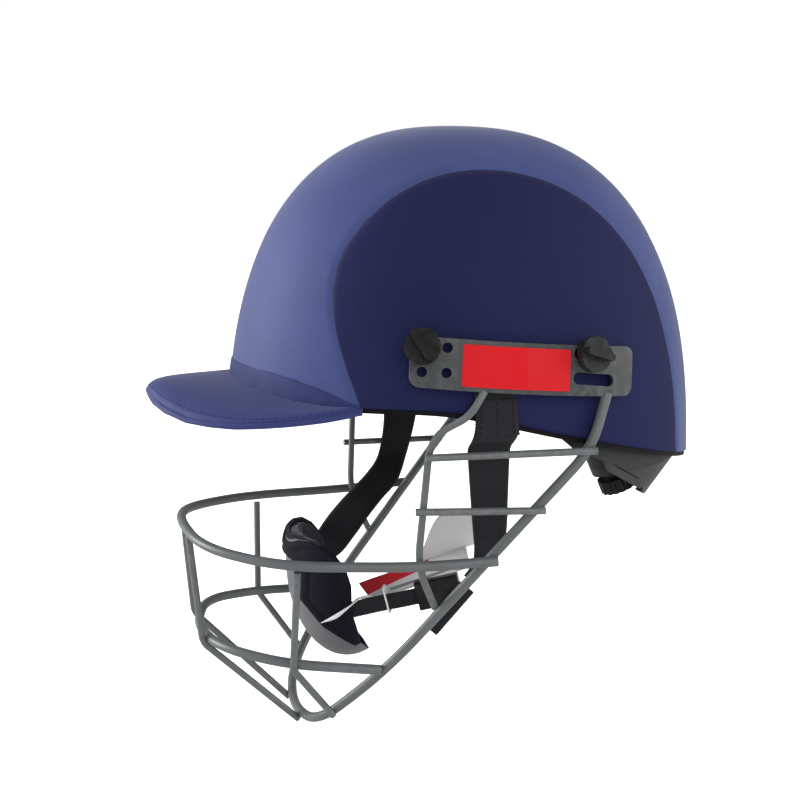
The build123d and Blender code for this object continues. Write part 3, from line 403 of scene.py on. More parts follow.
def dress(piece, material, body, nodes=()):
    """Gives a new piece its material, its place on a body and the nodes it stands for."""
    set_material(piece, material)
    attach(piece, body)
    if nodes:
        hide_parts(*nodes)
    return piece


def finish_nodes(material, names, bevel=0.0):
    """Gives rigid nodes a material and, where wanted, softened edges."""
    for name in names:
        node = NODES[name]
        set_material(node, material)
        if bevel:
            edges = node.modifiers.new("edges", "BEVEL")
            edges.width, edges.segments = bevel * MM, 2
            edges.limit_method, edges.angle_limit = "ANGLE", math.radians(35)
            edges.harden_normals = False


# Materials


class Nodes:
    """Short calls for building one node tree."""

    def __init__(self, tree):
        self.tree = tree

    def feed(self, socket, value):
        """Links a socket to another one, or sets its value."""
        if hasattr(value, "links"):
            self.tree.links.new(value, socket)
        else:
            socket.default_value = value

    def add(self, kind, **values):
        node = self.tree.nodes.new(kind)
        for name, value in values.items():
            if name.startswith("in_"):
                self.feed(node.inputs[name[3:].replace("_", " ")], value)
            else:
                setattr(node, name, value)
        return node

    def work(self, kind, operation, values):
        node = self.add(kind, operation=operation)
        for socket, value in zip(node.inputs, values):
            self.feed(socket, value)
        return node.outputs

    def math(self, operation, *values):
        return self.work("ShaderNodeMath", operation, values)[0]

    def vector(self, operation, *values):
        made = self.work("ShaderNodeVectorMath", operation, values)
        return made["Value" if operation == "DOT_PRODUCT" else "Vector"]

    def times(self, first, *others):
        """Product of two or more numbers or sockets."""
        for other in others:
            first = self.math("MULTIPLY", first, other)
        return first

    def mix(self, share, first, second):
        node = self.add("ShaderNodeMix", data_type="RGBA")
        for index, value in ((0, share), (6, first), (7, second)):
            self.feed(node.inputs[index], value)
        return node.outputs[2]

    def noise(self, place, scale, detail=2.0, roughness=0.5):
        made = self.add("ShaderNodeTexNoise", in_Vector=place, in_Scale=scale, in_Detail=detail)
        made.inputs["Roughness"].default_value = roughness
        return made.outputs["Fac"]

    def axes(self, place):
        return self.add("ShaderNodeSeparateXYZ", in_Vector=place).outputs

    def ramp(self, value, low, high):
        made = self.add("ShaderNodeMapRange", in_Value=value, in_From_Min=low, in_From_Max=high)
        return made.outputs[0]


def new_group(name, numbers, outputs):
    """An empty node group with a place, named numbers and named outputs."""
    tree = bpy.data.node_groups.new(name, "ShaderNodeTree")
    tree.interface.new_socket("Place", in_out="INPUT", socket_type="NodeSocketVector")
    for label, value in numbers.items():
        socket = tree.interface.new_socket(label, in_out="INPUT", socket_type="NodeSocketFloat")
        socket.default_value = value
    for label in outputs:
        tree.interface.new_socket(label, in_out="OUTPUT", socket_type="NodeSocketFloat")
    kit = Nodes(tree)
    return kit, kit.add("NodeGroupInput").outputs, kit.add("NodeGroupOutput").inputs


def make_weave_group():
    """Threads over and under each other, from a flat place in metres."""
    numbers = {"Threads": 900.0, "Unevenness": 0.3}
    kit, given, made = new_group("weave", numbers, ("Height", "Mask"))
    axes = kit.axes(given["Place"])
    waves = [kit.math("SINE", kit.times(axes[axis], given["Threads"], math.pi)) for axis in "XY"]
    speckle = kit.noise(given["Place"], 420.0)
    rough = kit.times(kit.math("SUBTRACT", speckle, 0.5), given["Unevenness"])
    over = kit.math("MULTIPLY_ADD", kit.times(*waves), 0.5, 0.5)
    kit.feed(made["Height"], kit.math("ADD", over, rough))
    kit.feed(made["Mask"], kit.math("ADD", rough, 0.5))


def make_rib_group():
    """Ribs across webbing, with a fine lengthwise grain."""
    kit, given, made = new_group("webbing ribs", {"Ribs": 860.0, "Grain": 2400.0}, ("Height", "Mask"))
    axes = kit.axes(given["Place"])
    rib = kit.math("SINE", kit.times(axes["Y"], given["Ribs"], math.tau))
    grain = kit.math("SINE", kit.times(axes["X"], given["Grain"], math.pi))
    height = kit.math("ADD", kit.math("MULTIPLY_ADD", rib, 0.35, 0.5), kit.times(grain, 0.15))
    kit.feed(made["Height"], height)
    # The mask follows the ribs, for the shade and highlight painted on them.
    kit.feed(made["Mask"], kit.math("MULTIPLY_ADD", rib, 0.5, 0.5))


def make_grain_group():
    """Fine grain and slow blotches of a moulded or coated surface."""
    numbers = {"Fineness": 1800.0, "Blotches": 45.0}
    kit, given, made = new_group("surface grain", numbers, ("Height", "Blotch"))
    kit.feed(made["Height"], kit.noise(given["Place"], given["Fineness"], 3.0, 0.6))
    kit.feed(made["Blotch"], kit.noise(given["Place"], given["Blotches"]))


def make_highlight_group():
    """Painted highlight on raised edges, broken up by noise."""
    kit, given, made = new_group("edge highlight", {"Amount": 0.5, "Breakup": 260.0}, ("Highlight",))
    form = kit.add("ShaderNodeNewGeometry")
    edge = kit.ramp(form.outputs["Pointiness"], 0.52, 0.62)
    broken = kit.ramp(kit.noise(given["Place"], given["Breakup"], 3.0), 0.4, 0.65)
    kit.feed(made["Highlight"], kit.times(edge, broken, given["Amount"]))


def shade(colour, strength=1.0, lift=0.0):
    """A colour made darker or paler, with its alpha."""
    return (*[min(part * strength + lift, 1.0) for part in colour], 1.0)


def new_material(name, colour, roughness, cloth=False, metallic=0.0, sheen=0.0, specular=0.5):
    """A material with constants on its shader, and its place: UVs for cloth, else the frame."""
    material = bpy.data.materials.new(name)
    material.use_nodes = True
    material.diffuse_color = shade(colour)
    kit = Nodes(material.node_tree)
    shader = material.node_tree.nodes["Principled BSDF"].inputs
    shader["Base Color"].default_value = shade(colour)
    shader["Roughness"].default_value = roughness
    shader["Metallic"].default_value = metallic
    shader["Specular IOR Level"].default_value = specular
    shader["Sheen Weight"].default_value = sheen
    shader["Sheen Roughness"].default_value = 0.4
    return kit, shader, kit.add("ShaderNodeTexCoord").outputs["UV" if cloth else "Object"]


def placed_group(kit, name, place, **values):
    """Outputs of one of the shared groups, placed in a material."""
    node = kit.add("ShaderNodeGroup", node_tree=bpy.data.node_groups[name])
    kit.feed(node.inputs["Place"], place)
    for label, value in values.items():
        node.inputs[label].default_value = value
    return node.outputs


def finish_shader(kit, shader, colour, height, strength, depth):
    """Feeds a colour and a bump to the shader; depth is in millimetres."""
    kit.feed(shader["Base Color"], colour)
    made = kit.add("ShaderNodeBump", in_Strength=strength, in_Distance=depth * MM, in_Height=height)
    kit.feed(shader["Normal"], made.outputs[0])


def make_cloth(name, colour, roughness, sheen, threads, folds=0.25, pale=1.25, depth=0.12, specular=0.2):
    """Woven polyester cloth with slow changes of tone and a fine weave."""
    kit, shader, place = new_material(name, colour, roughness, True, sheen=sheen, specular=specular)
    weave = placed_group(kit, "weave", place, Threads=threads)
    dark = shade(colour, 1 - folds)
    tone = kit.mix(kit.noise(place, 22.0, 4.0), dark, shade(colour, pale))
    speck = kit.mix(weave["Mask"], dark, tone)
    kit.feed(shader["Roughness"], kit.math("MULTIPLY_ADD", weave["Mask"], 0.12, roughness - 0.06))
    finish_shader(kit, shader, kit.mix(0.65, tone, speck), weave["Height"], 0.35, depth)


def make_plastic(name, colour, roughness, fineness=1400.0, depth=0.05, highlight=0.25, specular=0.5):
    """Moulded plastic with a fine skin, slight blotches and a painted highlight on its raised edges."""
    kit, shader, place = new_material(name, colour, roughness, specular=specular)
    grain = placed_group(kit, "surface grain", place, Fineness=fineness)
    edge_gleam = placed_group(kit, "edge highlight", place, Amount=highlight)
    base = kit.mix(grain["Blotch"], shade(colour, 0.85), shade(colour, 1.15))
    kit.feed(shader["Roughness"], kit.math("MULTIPLY_ADD", grain["Blotch"], 0.16, roughness - 0.08))
    # Painted highlight: the raised edges are made paler, as if they catch the light.
    lit_edges = kit.mix(edge_gleam["Highlight"], base, shade(colour, 2.2, 0.02))
    finish_shader(kit, shader, lit_edges, grain["Height"], 0.4, depth)


def make_webbing(colour):
    kit, shader, place = new_material("webbing", colour, 0.78, True, sheen=0.04, specular=0.15)
    ribs = placed_group(kit, "webbing ribs", place)
    # Painted shade and highlight: the rib hollows are painted darker and the rib tops paler.
    tone = kit.mix(ribs["Mask"], shade(colour, 0.5), shade(colour, 2.5))
    finish_shader(kit, shader, tone, ribs["Height"], 0.6, 0.3)


def make_thread(name, colour):
    kit, shader, place = new_material(name, colour, 0.7, sheen=0.03, specular=0.15)
    grain = placed_group(kit, "surface grain", place, Fineness=5000.0)
    tone = kit.mix(grain["Height"], shade(colour, 0.6), shade(colour, 1.5))
    finish_shader(kit, shader, tone, grain["Height"], 0.5, 0.1)


def make_steel():
    kit, shader, place = new_material("washer steel", (0.12, 0.12, 0.125), 0.4, metallic=0.7)
    grain = placed_group(kit, "surface grain", place, Fineness=3000.0)
    tone = kit.mix(grain["Blotch"], (0.09, 0.09, 0.095, 1.0), (0.16, 0.16, 0.165, 1.0))
    finish_shader(kit, shader, tone, grain["Height"], 0.2, 0.02)


def make_label(colour):
    """Plain red label with a slightly paler end."""
    kit, shader, place = new_material("label gloss", colour, 0.5, specular=0.14)
    grain = placed_group(kit, "surface grain", place, Fineness=900.0, Blotches=30.0)
    end = kit.math("GREATER_THAN", kit.axes(place)["Y"], LABEL_END_Y * MM)
    red, green, blue = colour
    tone = kit.mix(end, shade(colour), (red * 0.97, green * 3.2, blue * 1.8, 1.0))
    blotched = kit.mix(kit.times(grain["Blotch"], 0.1), tone, (0.9, 0.1, 0.1, 1.0))
    finish_shader(kit, shader, blotched, grain["Height"], 0.15, 0.02)


def make_tag_card():
    """White card with a plain red field and a grey band, and no lettering."""
    white, shadow = (0.88, 0.88, 0.89), (0.8, 0.8, 0.81)
    kit, shader, place = new_material("tag card", white, 0.5, True, specular=0.3)
    grain = placed_group(kit, "surface grain", place, Fineness=2200.0)
    across, run, _ = kit.axes(place)
    slant = kit.math("MULTIPLY_ADD", run, CARD_RED_SLOPE, CARD_RED_EDGE * MM)
    wedge = kit.math("GREATER_THAN", across, slant)
    red = kit.times(wedge, kit.math("LESS_THAN", run, CARD_RED_END * MM))
    above = kit.math("GREATER_THAN", across, CARD_GREY_LOW * MM)
    below = kit.math("LESS_THAN", across, CARD_GREY_HIGH * MM)
    grey = kit.times(above, below, kit.math("GREATER_THAN", run, CARD_GREY_START * MM))
    card = kit.mix(kit.times(grain["Blotch"], 0.3), shade(white), shade(shadow))
    banded = kit.mix(grey, card, (0.3, 0.3, 0.31, 1.0))
    printed = kit.mix(red, banded, (0.82, 0.015, 0.035, 1.0))
    finish_shader(kit, shader, printed, grain["Height"], 0.2, 0.02)


def make_cup_shell(colour):
    """Grey plastic outside, with a dark flocked lining on the inner face and the rim."""
    kit, shader, place = new_material("cup plastic", colour, 0.45, specular=0.35)
    grain = placed_group(kit, "surface grain", place, Fineness=1400.0)
    spoke = kit.vector("SUBTRACT", place, (0.0, CUP_CENTRE_Y * MM, CUP_CENTRE_Z * MM))
    level = kit.vector("MINIMUM", spoke, (1.0, 1.0, 0.0))
    scale = [(CUP_WIDTH / size) ** 2 for size in (CUP_WIDTH, CUP_FORWARD, CUP_DEPTH)]
    away = kit.vector("NORMALIZE", kit.vector("MULTIPLY", level, scale))
    facing = kit.vector("DOT_PRODUCT", away, place.node.outputs["Normal"])
    lined = kit.math("LESS_THAN", facing, CUP_LINED_BELOW)
    plain = kit.mix(grain["Blotch"], shade(colour, 0.85), shade(colour, 1.15))
    kit.feed(shader["Roughness"], kit.math("MULTIPLY_ADD", lined, 0.4, 0.42))
    tone = kit.mix(lined, plain, (0.006, 0.006, 0.013, 1.0))
    finish_shader(kit, shader, tone, grain["Height"], 0.4, 0.04)


def colour_property(name, description, colour):
    return bpy.props.FloatVectorProperty(
        name=name, description=description, subtype="COLOR", default=colour
    )


def length_property(name, description, length):
    return bpy.props.FloatProperty(
        name=name, description=description, subtype="DISTANCE", default=length * MM
    )


class HELMET_PG_colours(bpy.types.PropertyGroup):
    """Colours of the helmet's pieces."""

    crown: colour_property("Crown cloth", "Colour of the crown panel", (0.071, 0.095, 0.262))
    band: colour_property("Band cloth", "Colour of the front band and the peak", (0.038, 0.049, 0.16))
    side: colour_property("Side cloth", "Colour of the side panels", (0.0115, 0.0145, 0.076))
    coat: colour_property("Powder coat", "Colour of the guard and side plates", (0.053, 0.057, 0.058))
    label: colour_property("Label", "Colour of the plain side labels", (0.76, 0.004, 0.012))
    webbing: colour_property("Webbing", "Colour of the straps", (0.0055, 0.0055, 0.007))
    cup: colour_property("Chin cup", "Colour of the chin cup's shell", (0.17, 0.172, 0.18))
    adjuster: colour_property("Adjuster", "Colour of the rear adjuster", (0.026, 0.029, 0.028))


class HELMET_PG_sizes(bpy.types.PropertyGroup):
    """Sizes of the helmet's soft details."""

    cloth: length_property("Cloth", "Thickness of the cloth panels", 0.9)
    crease: length_property("Crease", "Height of the slow folds in the cloth", 0.45)
    webbing: length_property("Webbing", "Thickness of the chin straps", 1.5)
    stitch: length_property("Stitch", "Length of one stitch in the seams", 2.4)


class HELMET_OT_materials(bpy.types.Operator):
    """Make the shared node groups and every material"""

    bl_idname = "helmet.materials"
    bl_label = "Materials"

    def execute(self, context):
        colours = context.scene.helmet_colours
        for make_group in (make_weave_group, make_rib_group, make_grain_group, make_highlight_group):
            make_group()
        # Painted light: the peak cloth is the band's cloth made 1.25 times paler, standing in for the
        # light on the peak's top.
        peak = [part * 1.25 for part in colours.band]
        # Painted light: the wire coat is the powder coat made 2.6 times paler, standing in for the light
        # on the thin wires.
        wire = [part * 2.6 for part in colours.coat]
        make_cloth("crown cloth", colours.crown, 0.55, 0.2, 1500.0, specular=0.12)
        make_cloth("band cloth", colours.band, 0.62, 0.06, 1300.0, specular=0.12)
        make_cloth("side cloth", colours.side, 0.75, 0.03, 1100.0, folds=0.12, pale=1.12)
        make_cloth("cup cloth", (0.0045, 0.0045, 0.0115), 0.8, 0.01, 900.0, folds=0.1, pale=1.15)
        make_cloth("peak cloth", peak, 0.6, 0.14, 1300.0, specular=0.12)
        make_cloth("pad knit", (0.03, 0.031, 0.04), 0.85, 0.25, 700.0, depth=0.25)
        make_cloth("foam", (0.05, 0.05, 0.055), 0.9, 0.05, 500.0, depth=0.2)
        make_cloth("tag page", (0.86, 0.86, 0.87), 0.55, 0.0, 2400.0, folds=0.04, pale=1.03, depth=0.02)
        make_plastic("powder coat", colours.coat, 0.42, 2600.0, 0.07, highlight=0.5, specular=0.4)
        make_plastic("wire coat", wire, 0.4, 2600.0, 0.07, highlight=0.3, specular=0.45)
        make_plastic("shell plastic", (0.012, 0.012, 0.014), 0.5, specular=0.3)
        make_plastic("edge rubber", (0.003, 0.003, 0.006), 0.6, highlight=0.0, specular=0.15)
        make_plastic("front screw plastic", (0.0035, 0.0035, 0.004), 0.4, highlight=0.9, specular=0.22)
        make_plastic("rear screw plastic", (0.018, 0.02, 0.019), 0.42, highlight=0.6, specular=0.25)
        make_plastic("buckle plastic", (0.005, 0.005, 0.006), 0.34, highlight=0.4, specular=0.3)
        make_plastic("adjuster plastic", colours.adjuster, 0.5, depth=0.06, specular=0.25)
        make_plastic("dial plastic", (0.005, 0.005, 0.006), 0.42, highlight=0.5, specular=0.25)
        make_plastic("spacer rubber", (0.006, 0.006, 0.007), 0.75, highlight=0.0, specular=0.2)
        make_plastic("tie plastic", (0.85, 0.85, 0.86), 0.35, highlight=0.0)
        make_thread("navy thread", (0.02, 0.022, 0.085))
        make_thread("black thread", (0.006, 0.006, 0.007))
        make_webbing(colours.webbing)
        make_label(colours.label)
        make_cup_shell(colours.cup)
        make_tag_card()
        make_steel()
        return {"FINISHED"}


# Cloth cover


def sewn(points, near, pucker, reach, slow):
    """Cloth points drawn in at a seam, puckered near it and lifted by slow folds."""
    lift = slow - SEAM_ROLL * dent(near, SEAM_ROLL_WIDTH) + pucker * np.exp(-near / reach)
    return points + outward(points) * lift[..., None]


def make_crown(seam, cloth, crease):
    """Crown panel over the middle, rolled down at both seams."""
    spread = np.sin(np.linspace(-math.pi / 2, math.pi / 2, 61))
    rows = []
    for share, end in zip(np.linspace(0, 1, len(seam)), seam):
        x = end[0] * spread
        rows.append(np.stack([x, *dome_section(x, panel_turn(x, share))], axis=-1))
    points = np.array(rows)
    near = np.abs(np.abs(points[..., 0]) - seam[:, None, 0])
    slow = crease * lumps(points * np.array([1.6, 1.0, 0.55]), 34.0, 7.0)
    slow *= np.clip((FOLDS_TOP_Z - points[..., 2]) / FOLDS_FADE, 0.25, 1.0)
    points = sewn(points, near, 0.22 * lumps(points, 9.0, 3.0), 16.0, slow)
    piece = thicken(grid_object("crown_cloth", points, flip=True), cloth)
    dress(piece, "crown cloth", "helmet", ["crown_panel"])


def make_sides(seam, cloth, crease):
    """Side panels between the seam and the lower edge."""
    start, end = seam[0], seam[-1]
    length = along(seam)
    share = length / length[-1]
    low_y = start[1] + (end[1] - start[1]) * (0.5 - 0.5 * np.cos(math.pi * share))
    low = np.stack([low_y, edge_height(low_y)], axis=-1)
    rows = []
    for k in np.linspace(0, 1, 46):
        flat = low * (1 - k) + seam[:, 1:] * k
        width = seam[:, 0] if k > 0.98 else dome_width(flat[:, 0], flat[:, 1])
        rows.append(np.column_stack([width, flat]))
    points = np.array(rows)
    near = np.linalg.norm(points[:, :, 1:] - seam[None, :, 1:], axis=-1)
    slow = 0.3 * crease * lumps(points, 40.0, 5.0)
    points = sewn(points, near, 0.2 * lumps(points, 8.0, 11.0), 12.0, slow)
    for side, name in SIDES:
        piece = grid_object(f"side_cloth_{name}", points * np.array([side, 1, 1]), flip=side > 0)
        thicken(piece, cloth)
        dress(piece, "side cloth", "helmet", [f"side_panel_{name}"])


def make_seam_stitches(seam, stitch):
    normals = outward(seam)
    inward = np.cross(normals, unit(np.gradient(seam, axis=0)))
    inward *= -np.sign(inward[:, :1])
    line = seam + inward * SEAM_STITCH_GAP + normals * 0.1
    for side, name in SIDES:
        flip = np.array([side, 1, 1])
        piece = stitch_object(f"seam_stitches_{name}", line * flip, normals * flip, length=stitch)
        dress(piece, "navy thread", "helmet")


def make_band(cloth):
    """Cloth band over the root of the peak, with a turned and stitched top edge."""
    columns, rows = 121, 15
    turn = np.linspace(-1, 1, columns)
    front_y, low_z = DOME_CENTRE_Y - DOME_FRONT, EDGE_FRONT_Z - 1.0
    x = dome_width(BAND_END_Y, EDGE_FRONT_Z, -BAND_LIFT) * np.sin(turn * math.pi / 2)
    grid = []
    for k in np.linspace(0, 1, rows):
        z = np.full(columns, EDGE_FRONT_Z + BAND_FULL_HEIGHT)
        for _ in range(8):
            y = dome_face(x, z, -BAND_LIFT)
            share = np.clip((y - front_y) / (BAND_END_Y - front_y), 0, 1)
            bow = 4 * BAND_BOW * share * (1 - share)
            z = low_z + (BAND_TOP_Z + (EDGE_FRONT_Z - BAND_TOP_Z) * share + bow - low_z) * k
        grid.append(np.stack([x, y, z], axis=-1))
    points = np.array(grid)
    shares = np.linspace(0, 1, rows)[:, None]
    room = np.clip((points[-1, :, 2] - EDGE_FRONT_Z) / BAND_FULL_HEIGHT, 0, 1)[None]
    swell = 0.5 * np.sin(shares * math.pi) - 0.9 * dent(1 - shares, 1 / 14)
    lift = swell + 0.4 * lumps(points * np.array([1.0, 1.0, 0.4]), 11.0, 19.0)
    fade = np.sin(np.clip(shares * 1.15, 0, 1) * math.pi) ** 0.7
    for place, lean, width, depth in BAND_FOLDS:
        for side, _ in SIDES:
            gap = side * turn[None] - place - lean * (shares - 0.5) - 0.013 * (side < 0)
            lift = lift - depth * dent(gap, width) * fade
    points = points + outward(points) * (room * lift)[..., None]
    piece = thicken(grid_object("front_band_cloth", points), cloth)
    dress(piece, "band cloth", "helmet", ["front_band"])
    line = points[-1, points[-1, :, 2] > EDGE_FRONT_Z + 3.0] - UPWARD * BAND_STITCH_DROP
    line = line + outward(line) * 0.5
    dress(stitch_object("band_stitches", line, outward(line)), "navy thread", "helmet")


class HELMET_OT_cover(bpy.types.Operator):
    """Build the crown panel, the side panels, the front band and their stitching"""

    bl_idname = "helmet.cover"
    bl_label = "Cloth cover"

    def execute(self, context):
        sizes = context.scene.helmet_sizes
        cloth, crease = sizes.cloth / MM, sizes.crease / MM
        seam = seam_line(220)
        make_crown(seam, cloth, crease)
        make_sides(seam, cloth, crease)
        make_band(cloth)
        make_seam_stitches(seam, sizes.stitch / MM)
        return {"FINISHED"}


# Peak


def peak_height(x, y):
    """Height of the peak's top face at a place in plan."""
    share = np.clip((PEAK_ROOT_Y - y) / PEAK_REACH, 0, 0.9995)
    width = PEAK_WIDTH * (1 - share**PEAK_LENGTH_POWER) ** (1 / PEAK_WIDTH_POWER)
    nose = PEAK_NOSE * np.clip((share - 0.85) / 0.15, 0, 1) ** 3
    drop = PEAK_DROP * np.interp(share, PEAK_STATIONS, PEAK_DROPS)
    radius = (width**2 + drop**2) / (2 * drop)
    crown = PEAK_CROWN_Z - PEAK_TIP_FALL * share**10 - nose
    return crown - radius + np.sqrt(np.clip(radius**2 - x**2, 0, None))


def peak_plan(columns):
    """Rim points of the peak in plan, evenly spaced, and the root point behind each."""
    turn = np.linspace(-math.pi / 2, math.pi / 2, 2400)
    reach = np.clip(np.cos(turn), 0, 1) ** (2 / PEAK_LENGTH_POWER)
    side = np.clip(1 - reach**PEAK_LENGTH_POWER, 0, None) ** (1 / PEAK_WIDTH_POWER)
    rim = np.column_stack([PEAK_WIDTH * np.sign(turn) * side, PEAK_ROOT_Y - PEAK_REACH * reach])
    length = along(rim)
    rim = sample(rim, length, np.linspace(0, length[-1], columns))
    root_x = rim[:, 0] * (0.985 - 0.12 * np.cos(np.linspace(-1, 1, columns) * math.pi / 2))
    root_y = np.maximum(dome_face(root_x, PEAK_SEAT_Z, -BAND_LIFT), rim[:, 1])
    return rim, np.column_stack([root_x, root_y])


def peak_face(rim, run, inward, roll, upper):
    """One face of the peak as rows from the rim inwards, with a sewn crease in the upper one."""
    half = PEAK_DEPTH / 2
    curl = np.linspace(0, math.pi / 2, 44 if upper else 8)
    steps = [(turn, 0.0) for turn in curl[:-1]]
    steps += [(curl[-1], PEAK_FACE_RUN * share**1.5) for share in np.linspace(0, 1, 30)]
    rows = []
    for turn, beyond in steps:
        inset = np.minimum(roll * (1 - math.cos(turn)) + beyond, run)
        x, y = (rim + inward * inset).T
        spot = np.column_stack([x, y, peak_height(x, np.minimum(y, PEAK_ROOT_Y)) - half])
        if not upper:
            rows.append(spot - UPWARD * (half * math.sin(turn)))
            continue
        room = np.clip((run[:, 0] - inset[:, 0]) / 6.0, 0, 1)
        fade = 0.15 + 0.85 * np.clip(np.abs(x) / PEAK_ROLL_WIDTH, 0, 1) ** 1.5
        out, rise = half * math.cos(turn), roll[:, 0] * math.sin(turn)
        crease = CREASE_DEPTH * dent(turn - CREASE_TURN, CREASE_WIDTH) * fade * room
        crease = crease / np.hypot(out, rise)
        spot[:, :2] += inward * (crease * out)[:, None]
        swell = 0.3 * lumps(spot, 26.0, 2.0) * np.clip(inset[:, 0] / 8.0, 0, 1) * room
        rows.append(spot + UPWARD * (half * math.sin(turn) + swell - crease * rise)[:, None])
    return rows


def make_rim_stitches(rim, run, inward, roll):
    keep, half = run[:, 0] > 8.0, PEAK_DEPTH / 2
    back, rise = math.cos(RIM_STITCH_TURN), math.sin(RIM_STITCH_TURN)
    flat = (rim + inward * roll * (1 - back))[keep]
    line = np.column_stack([flat, peak_height(*flat.T) - half * (1 - rise) + 0.05])
    normals = unit(np.column_stack([-inward[keep] * half * back, roll[keep, 0] * rise]))
    piece = stitch_object("peak_rim_stitches", line, normals, 2.0, 1.3, 0.2, 0.12)
    dress(piece, "navy thread", "helmet")


class HELMET_OT_peak(bpy.types.Operator):
    """Build the cloth-covered peak with its stitched rim"""

    bl_idname = "helmet.peak"
    bl_label = "Peak"

    def execute(self, context):
        rim, root = peak_plan(181)
        run = np.linalg.norm(rim - root, axis=1)[:, None]
        inward = (root - rim) / np.clip(run, 0.5, None)
        aside = np.clip(np.abs(rim[:, :1]) / PEAK_ROLL_WIDTH, 0, 1)
        roll = PEAK_TIP_ROLL + (PEAK_ROLL - PEAK_TIP_ROLL) * aside
        under = peak_face(rim, run, inward, np.full_like(roll, PEAK_DEPTH / 2), False)
        top = peak_face(rim, run, inward, roll, True)
        piece = grid_object("peak_cloth", np.array(under[::-1] + top[1:]))
        dress(piece, "peak cloth", "helmet", ["peak_cover", "peak_core"])
        make_rim_stitches(rim, run, inward, roll)
        return {"FINISHED"}


# Foam liner and pads


def make_liner():
    """Foam shell with pressed channels, closed round its lower lip."""
    turns = np.linspace(0, math.tau, 144, endpoint=False)
    surfaces = []
    for inset in (LINER_OUTER_INSET, LINER_INSET):

        def below(rise):
            _, y, z = dome_ring(turns, rise, inset).T
            rear = np.clip((y - LINER_REAR_Y) / LINER_REAR_RUN, 0, 1)
            return z < edge_height(y) + LINER_GAP + LINER_REAR_RISE * rear

        low = bisect(np.full_like(turns, 1.2), below)
        rises = [low + (math.pi / 2 - 0.004 - low) * k for k in np.linspace(0, 1, 30)]
        surfaces.append(np.array([dome_ring(turns, rise, inset) for rise in rises]))
    outer, inner = surfaces
    height = (inner[..., 2] - 20.0) / 100.0
    channel = dent(np.abs((turns[None] * CHANNEL_COUNT / math.tau) % 1 - 0.5) * 2 - 1, 1 / 9)
    channel = channel * np.clip(1.2 - height, 0, 1) * np.clip(height + 0.5, 0, 1)
    pressed = CHANNEL_DEPTH * np.maximum(channel, dent(inner[..., 2] - CHANNEL_Z, CHANNEL_WIDTH))
    inner = inner + outward(inner) * pressed[..., None]
    lip = [
        outer[0] * (1 - t) + inner[0] * t - UPWARD * LINER_LIP_DROP * math.sin(math.pi * t)
        for t in (0.15, 0.4, 0.6, 0.85)
    ]
    points = np.vstack([outer[::-1], np.array(lip), inner])
    piece = grid_object("foam_liner_form", points, loop=True, caps=True)
    dress(piece, "foam", "helmet", ["foam_liner"])


def across_grid(columns, rows):
    """Two grids of places, from the first, last and count of the columns and of the rows."""
    down, across = np.meshgrid(np.linspace(*rows), np.linspace(*columns), indexing="ij")
    return across, down


def make_pad(name, node, at, facing=1):
    """One crowned pad: full in the middle, drawn in at its sewn edge and quilted once."""
    back = at(LINER_INSET - 0.05)
    rows, columns = back.shape[:2]
    v = np.linspace(-1, 1, rows)[:, None]
    u = np.linspace(-1, 1, columns)[None]
    swell = np.clip(1 - u**6, 0, 1) ** 0.5 * np.clip(1 - v**4, 0, 1) ** 0.5
    quilt = 0.324 * dent(np.abs(u) - QUILT_PLACE, QUILT_WIDTH) * np.clip(1 - v**4, 0, 1)
    front = at(LINER_INSET + PAD_DEPTH * swell * (1 - quilt))
    front = front - outward(front) * 0.25 * (lumps(front, 7.0, 4.0) * swell)[..., None]
    mesh = bmesh.new()
    for points, flip in ((front, facing > 0), (back, facing < 0)):
        verts = [[mesh.verts.new(point * MM) for point in row] for row in points]
        for low, high in zip(verts, verts[1:]):
            for j in range(columns - 1):
                face = [low[j], low[j + 1], high[j + 1], high[j]]
                mesh.faces.new(face if flip else face[::-1])
    bmesh.ops.remove_doubles(mesh, verts=mesh.verts, dist=0.12 * MM)
    layer = mesh.loops.layers.uv.new("cloth")
    for face in mesh.faces:
        for corner in face.loops:
            corner[layer].uv = (corner.vert.co.x + corner.vert.co.y, corner.vert.co.z)
    bmesh.ops.recalc_face_normals(mesh, faces=mesh.faces)
    dress(bmesh_object(name, mesh), "pad knit", "helmet", [node])


def make_face_pad(name, node, columns, rows, front):
    x, z = across_grid(columns, rows)

    def at(inset):
        return np.stack([x, dome_face(x, z, inset, front), z], axis=-1)

    make_pad(name, node, at, 1 if front else -1)


def make_crown_pad():
    x, y = across_grid((-32, 32, 29), (-19.5, 72.5, 37))

    def at(inset):
        return np.stack([x, y, dome_top(x, y, inset)], axis=-1)

    make_pad("crown_pad_cloth", "crown_pad", at)


def make_side_pad(side, name):
    y, z = across_grid((-22, 52, 33), (24, 58, 17))

    def at(inset):
        return np.stack([side * dome_width(y, z, inset), y, z], axis=-1)

    make_pad(f"side_pad_cloth_{name}", f"side_pad_{name}", at, side)


class HELMET_OT_inside(bpy.types.Operator):
    """Build the foam liner and the comfort pads"""

    bl_idname = "helmet.inside"
    bl_label = "Liner and pads"

    def execute(self, context):
        make_liner()
        make_face_pad("brow_pad_cloth", "brow_pad", (-48, 48, 41), (14.6, 48.6, 17), True)
        make_face_pad("nape_pad_cloth", "nape_pad", (-40, 40, 37), (4.0, 38.0, 17), False)
        make_crown_pad()
        for side, name in SIDES:
            make_side_pad(side, name)
        return {"FINISHED"}


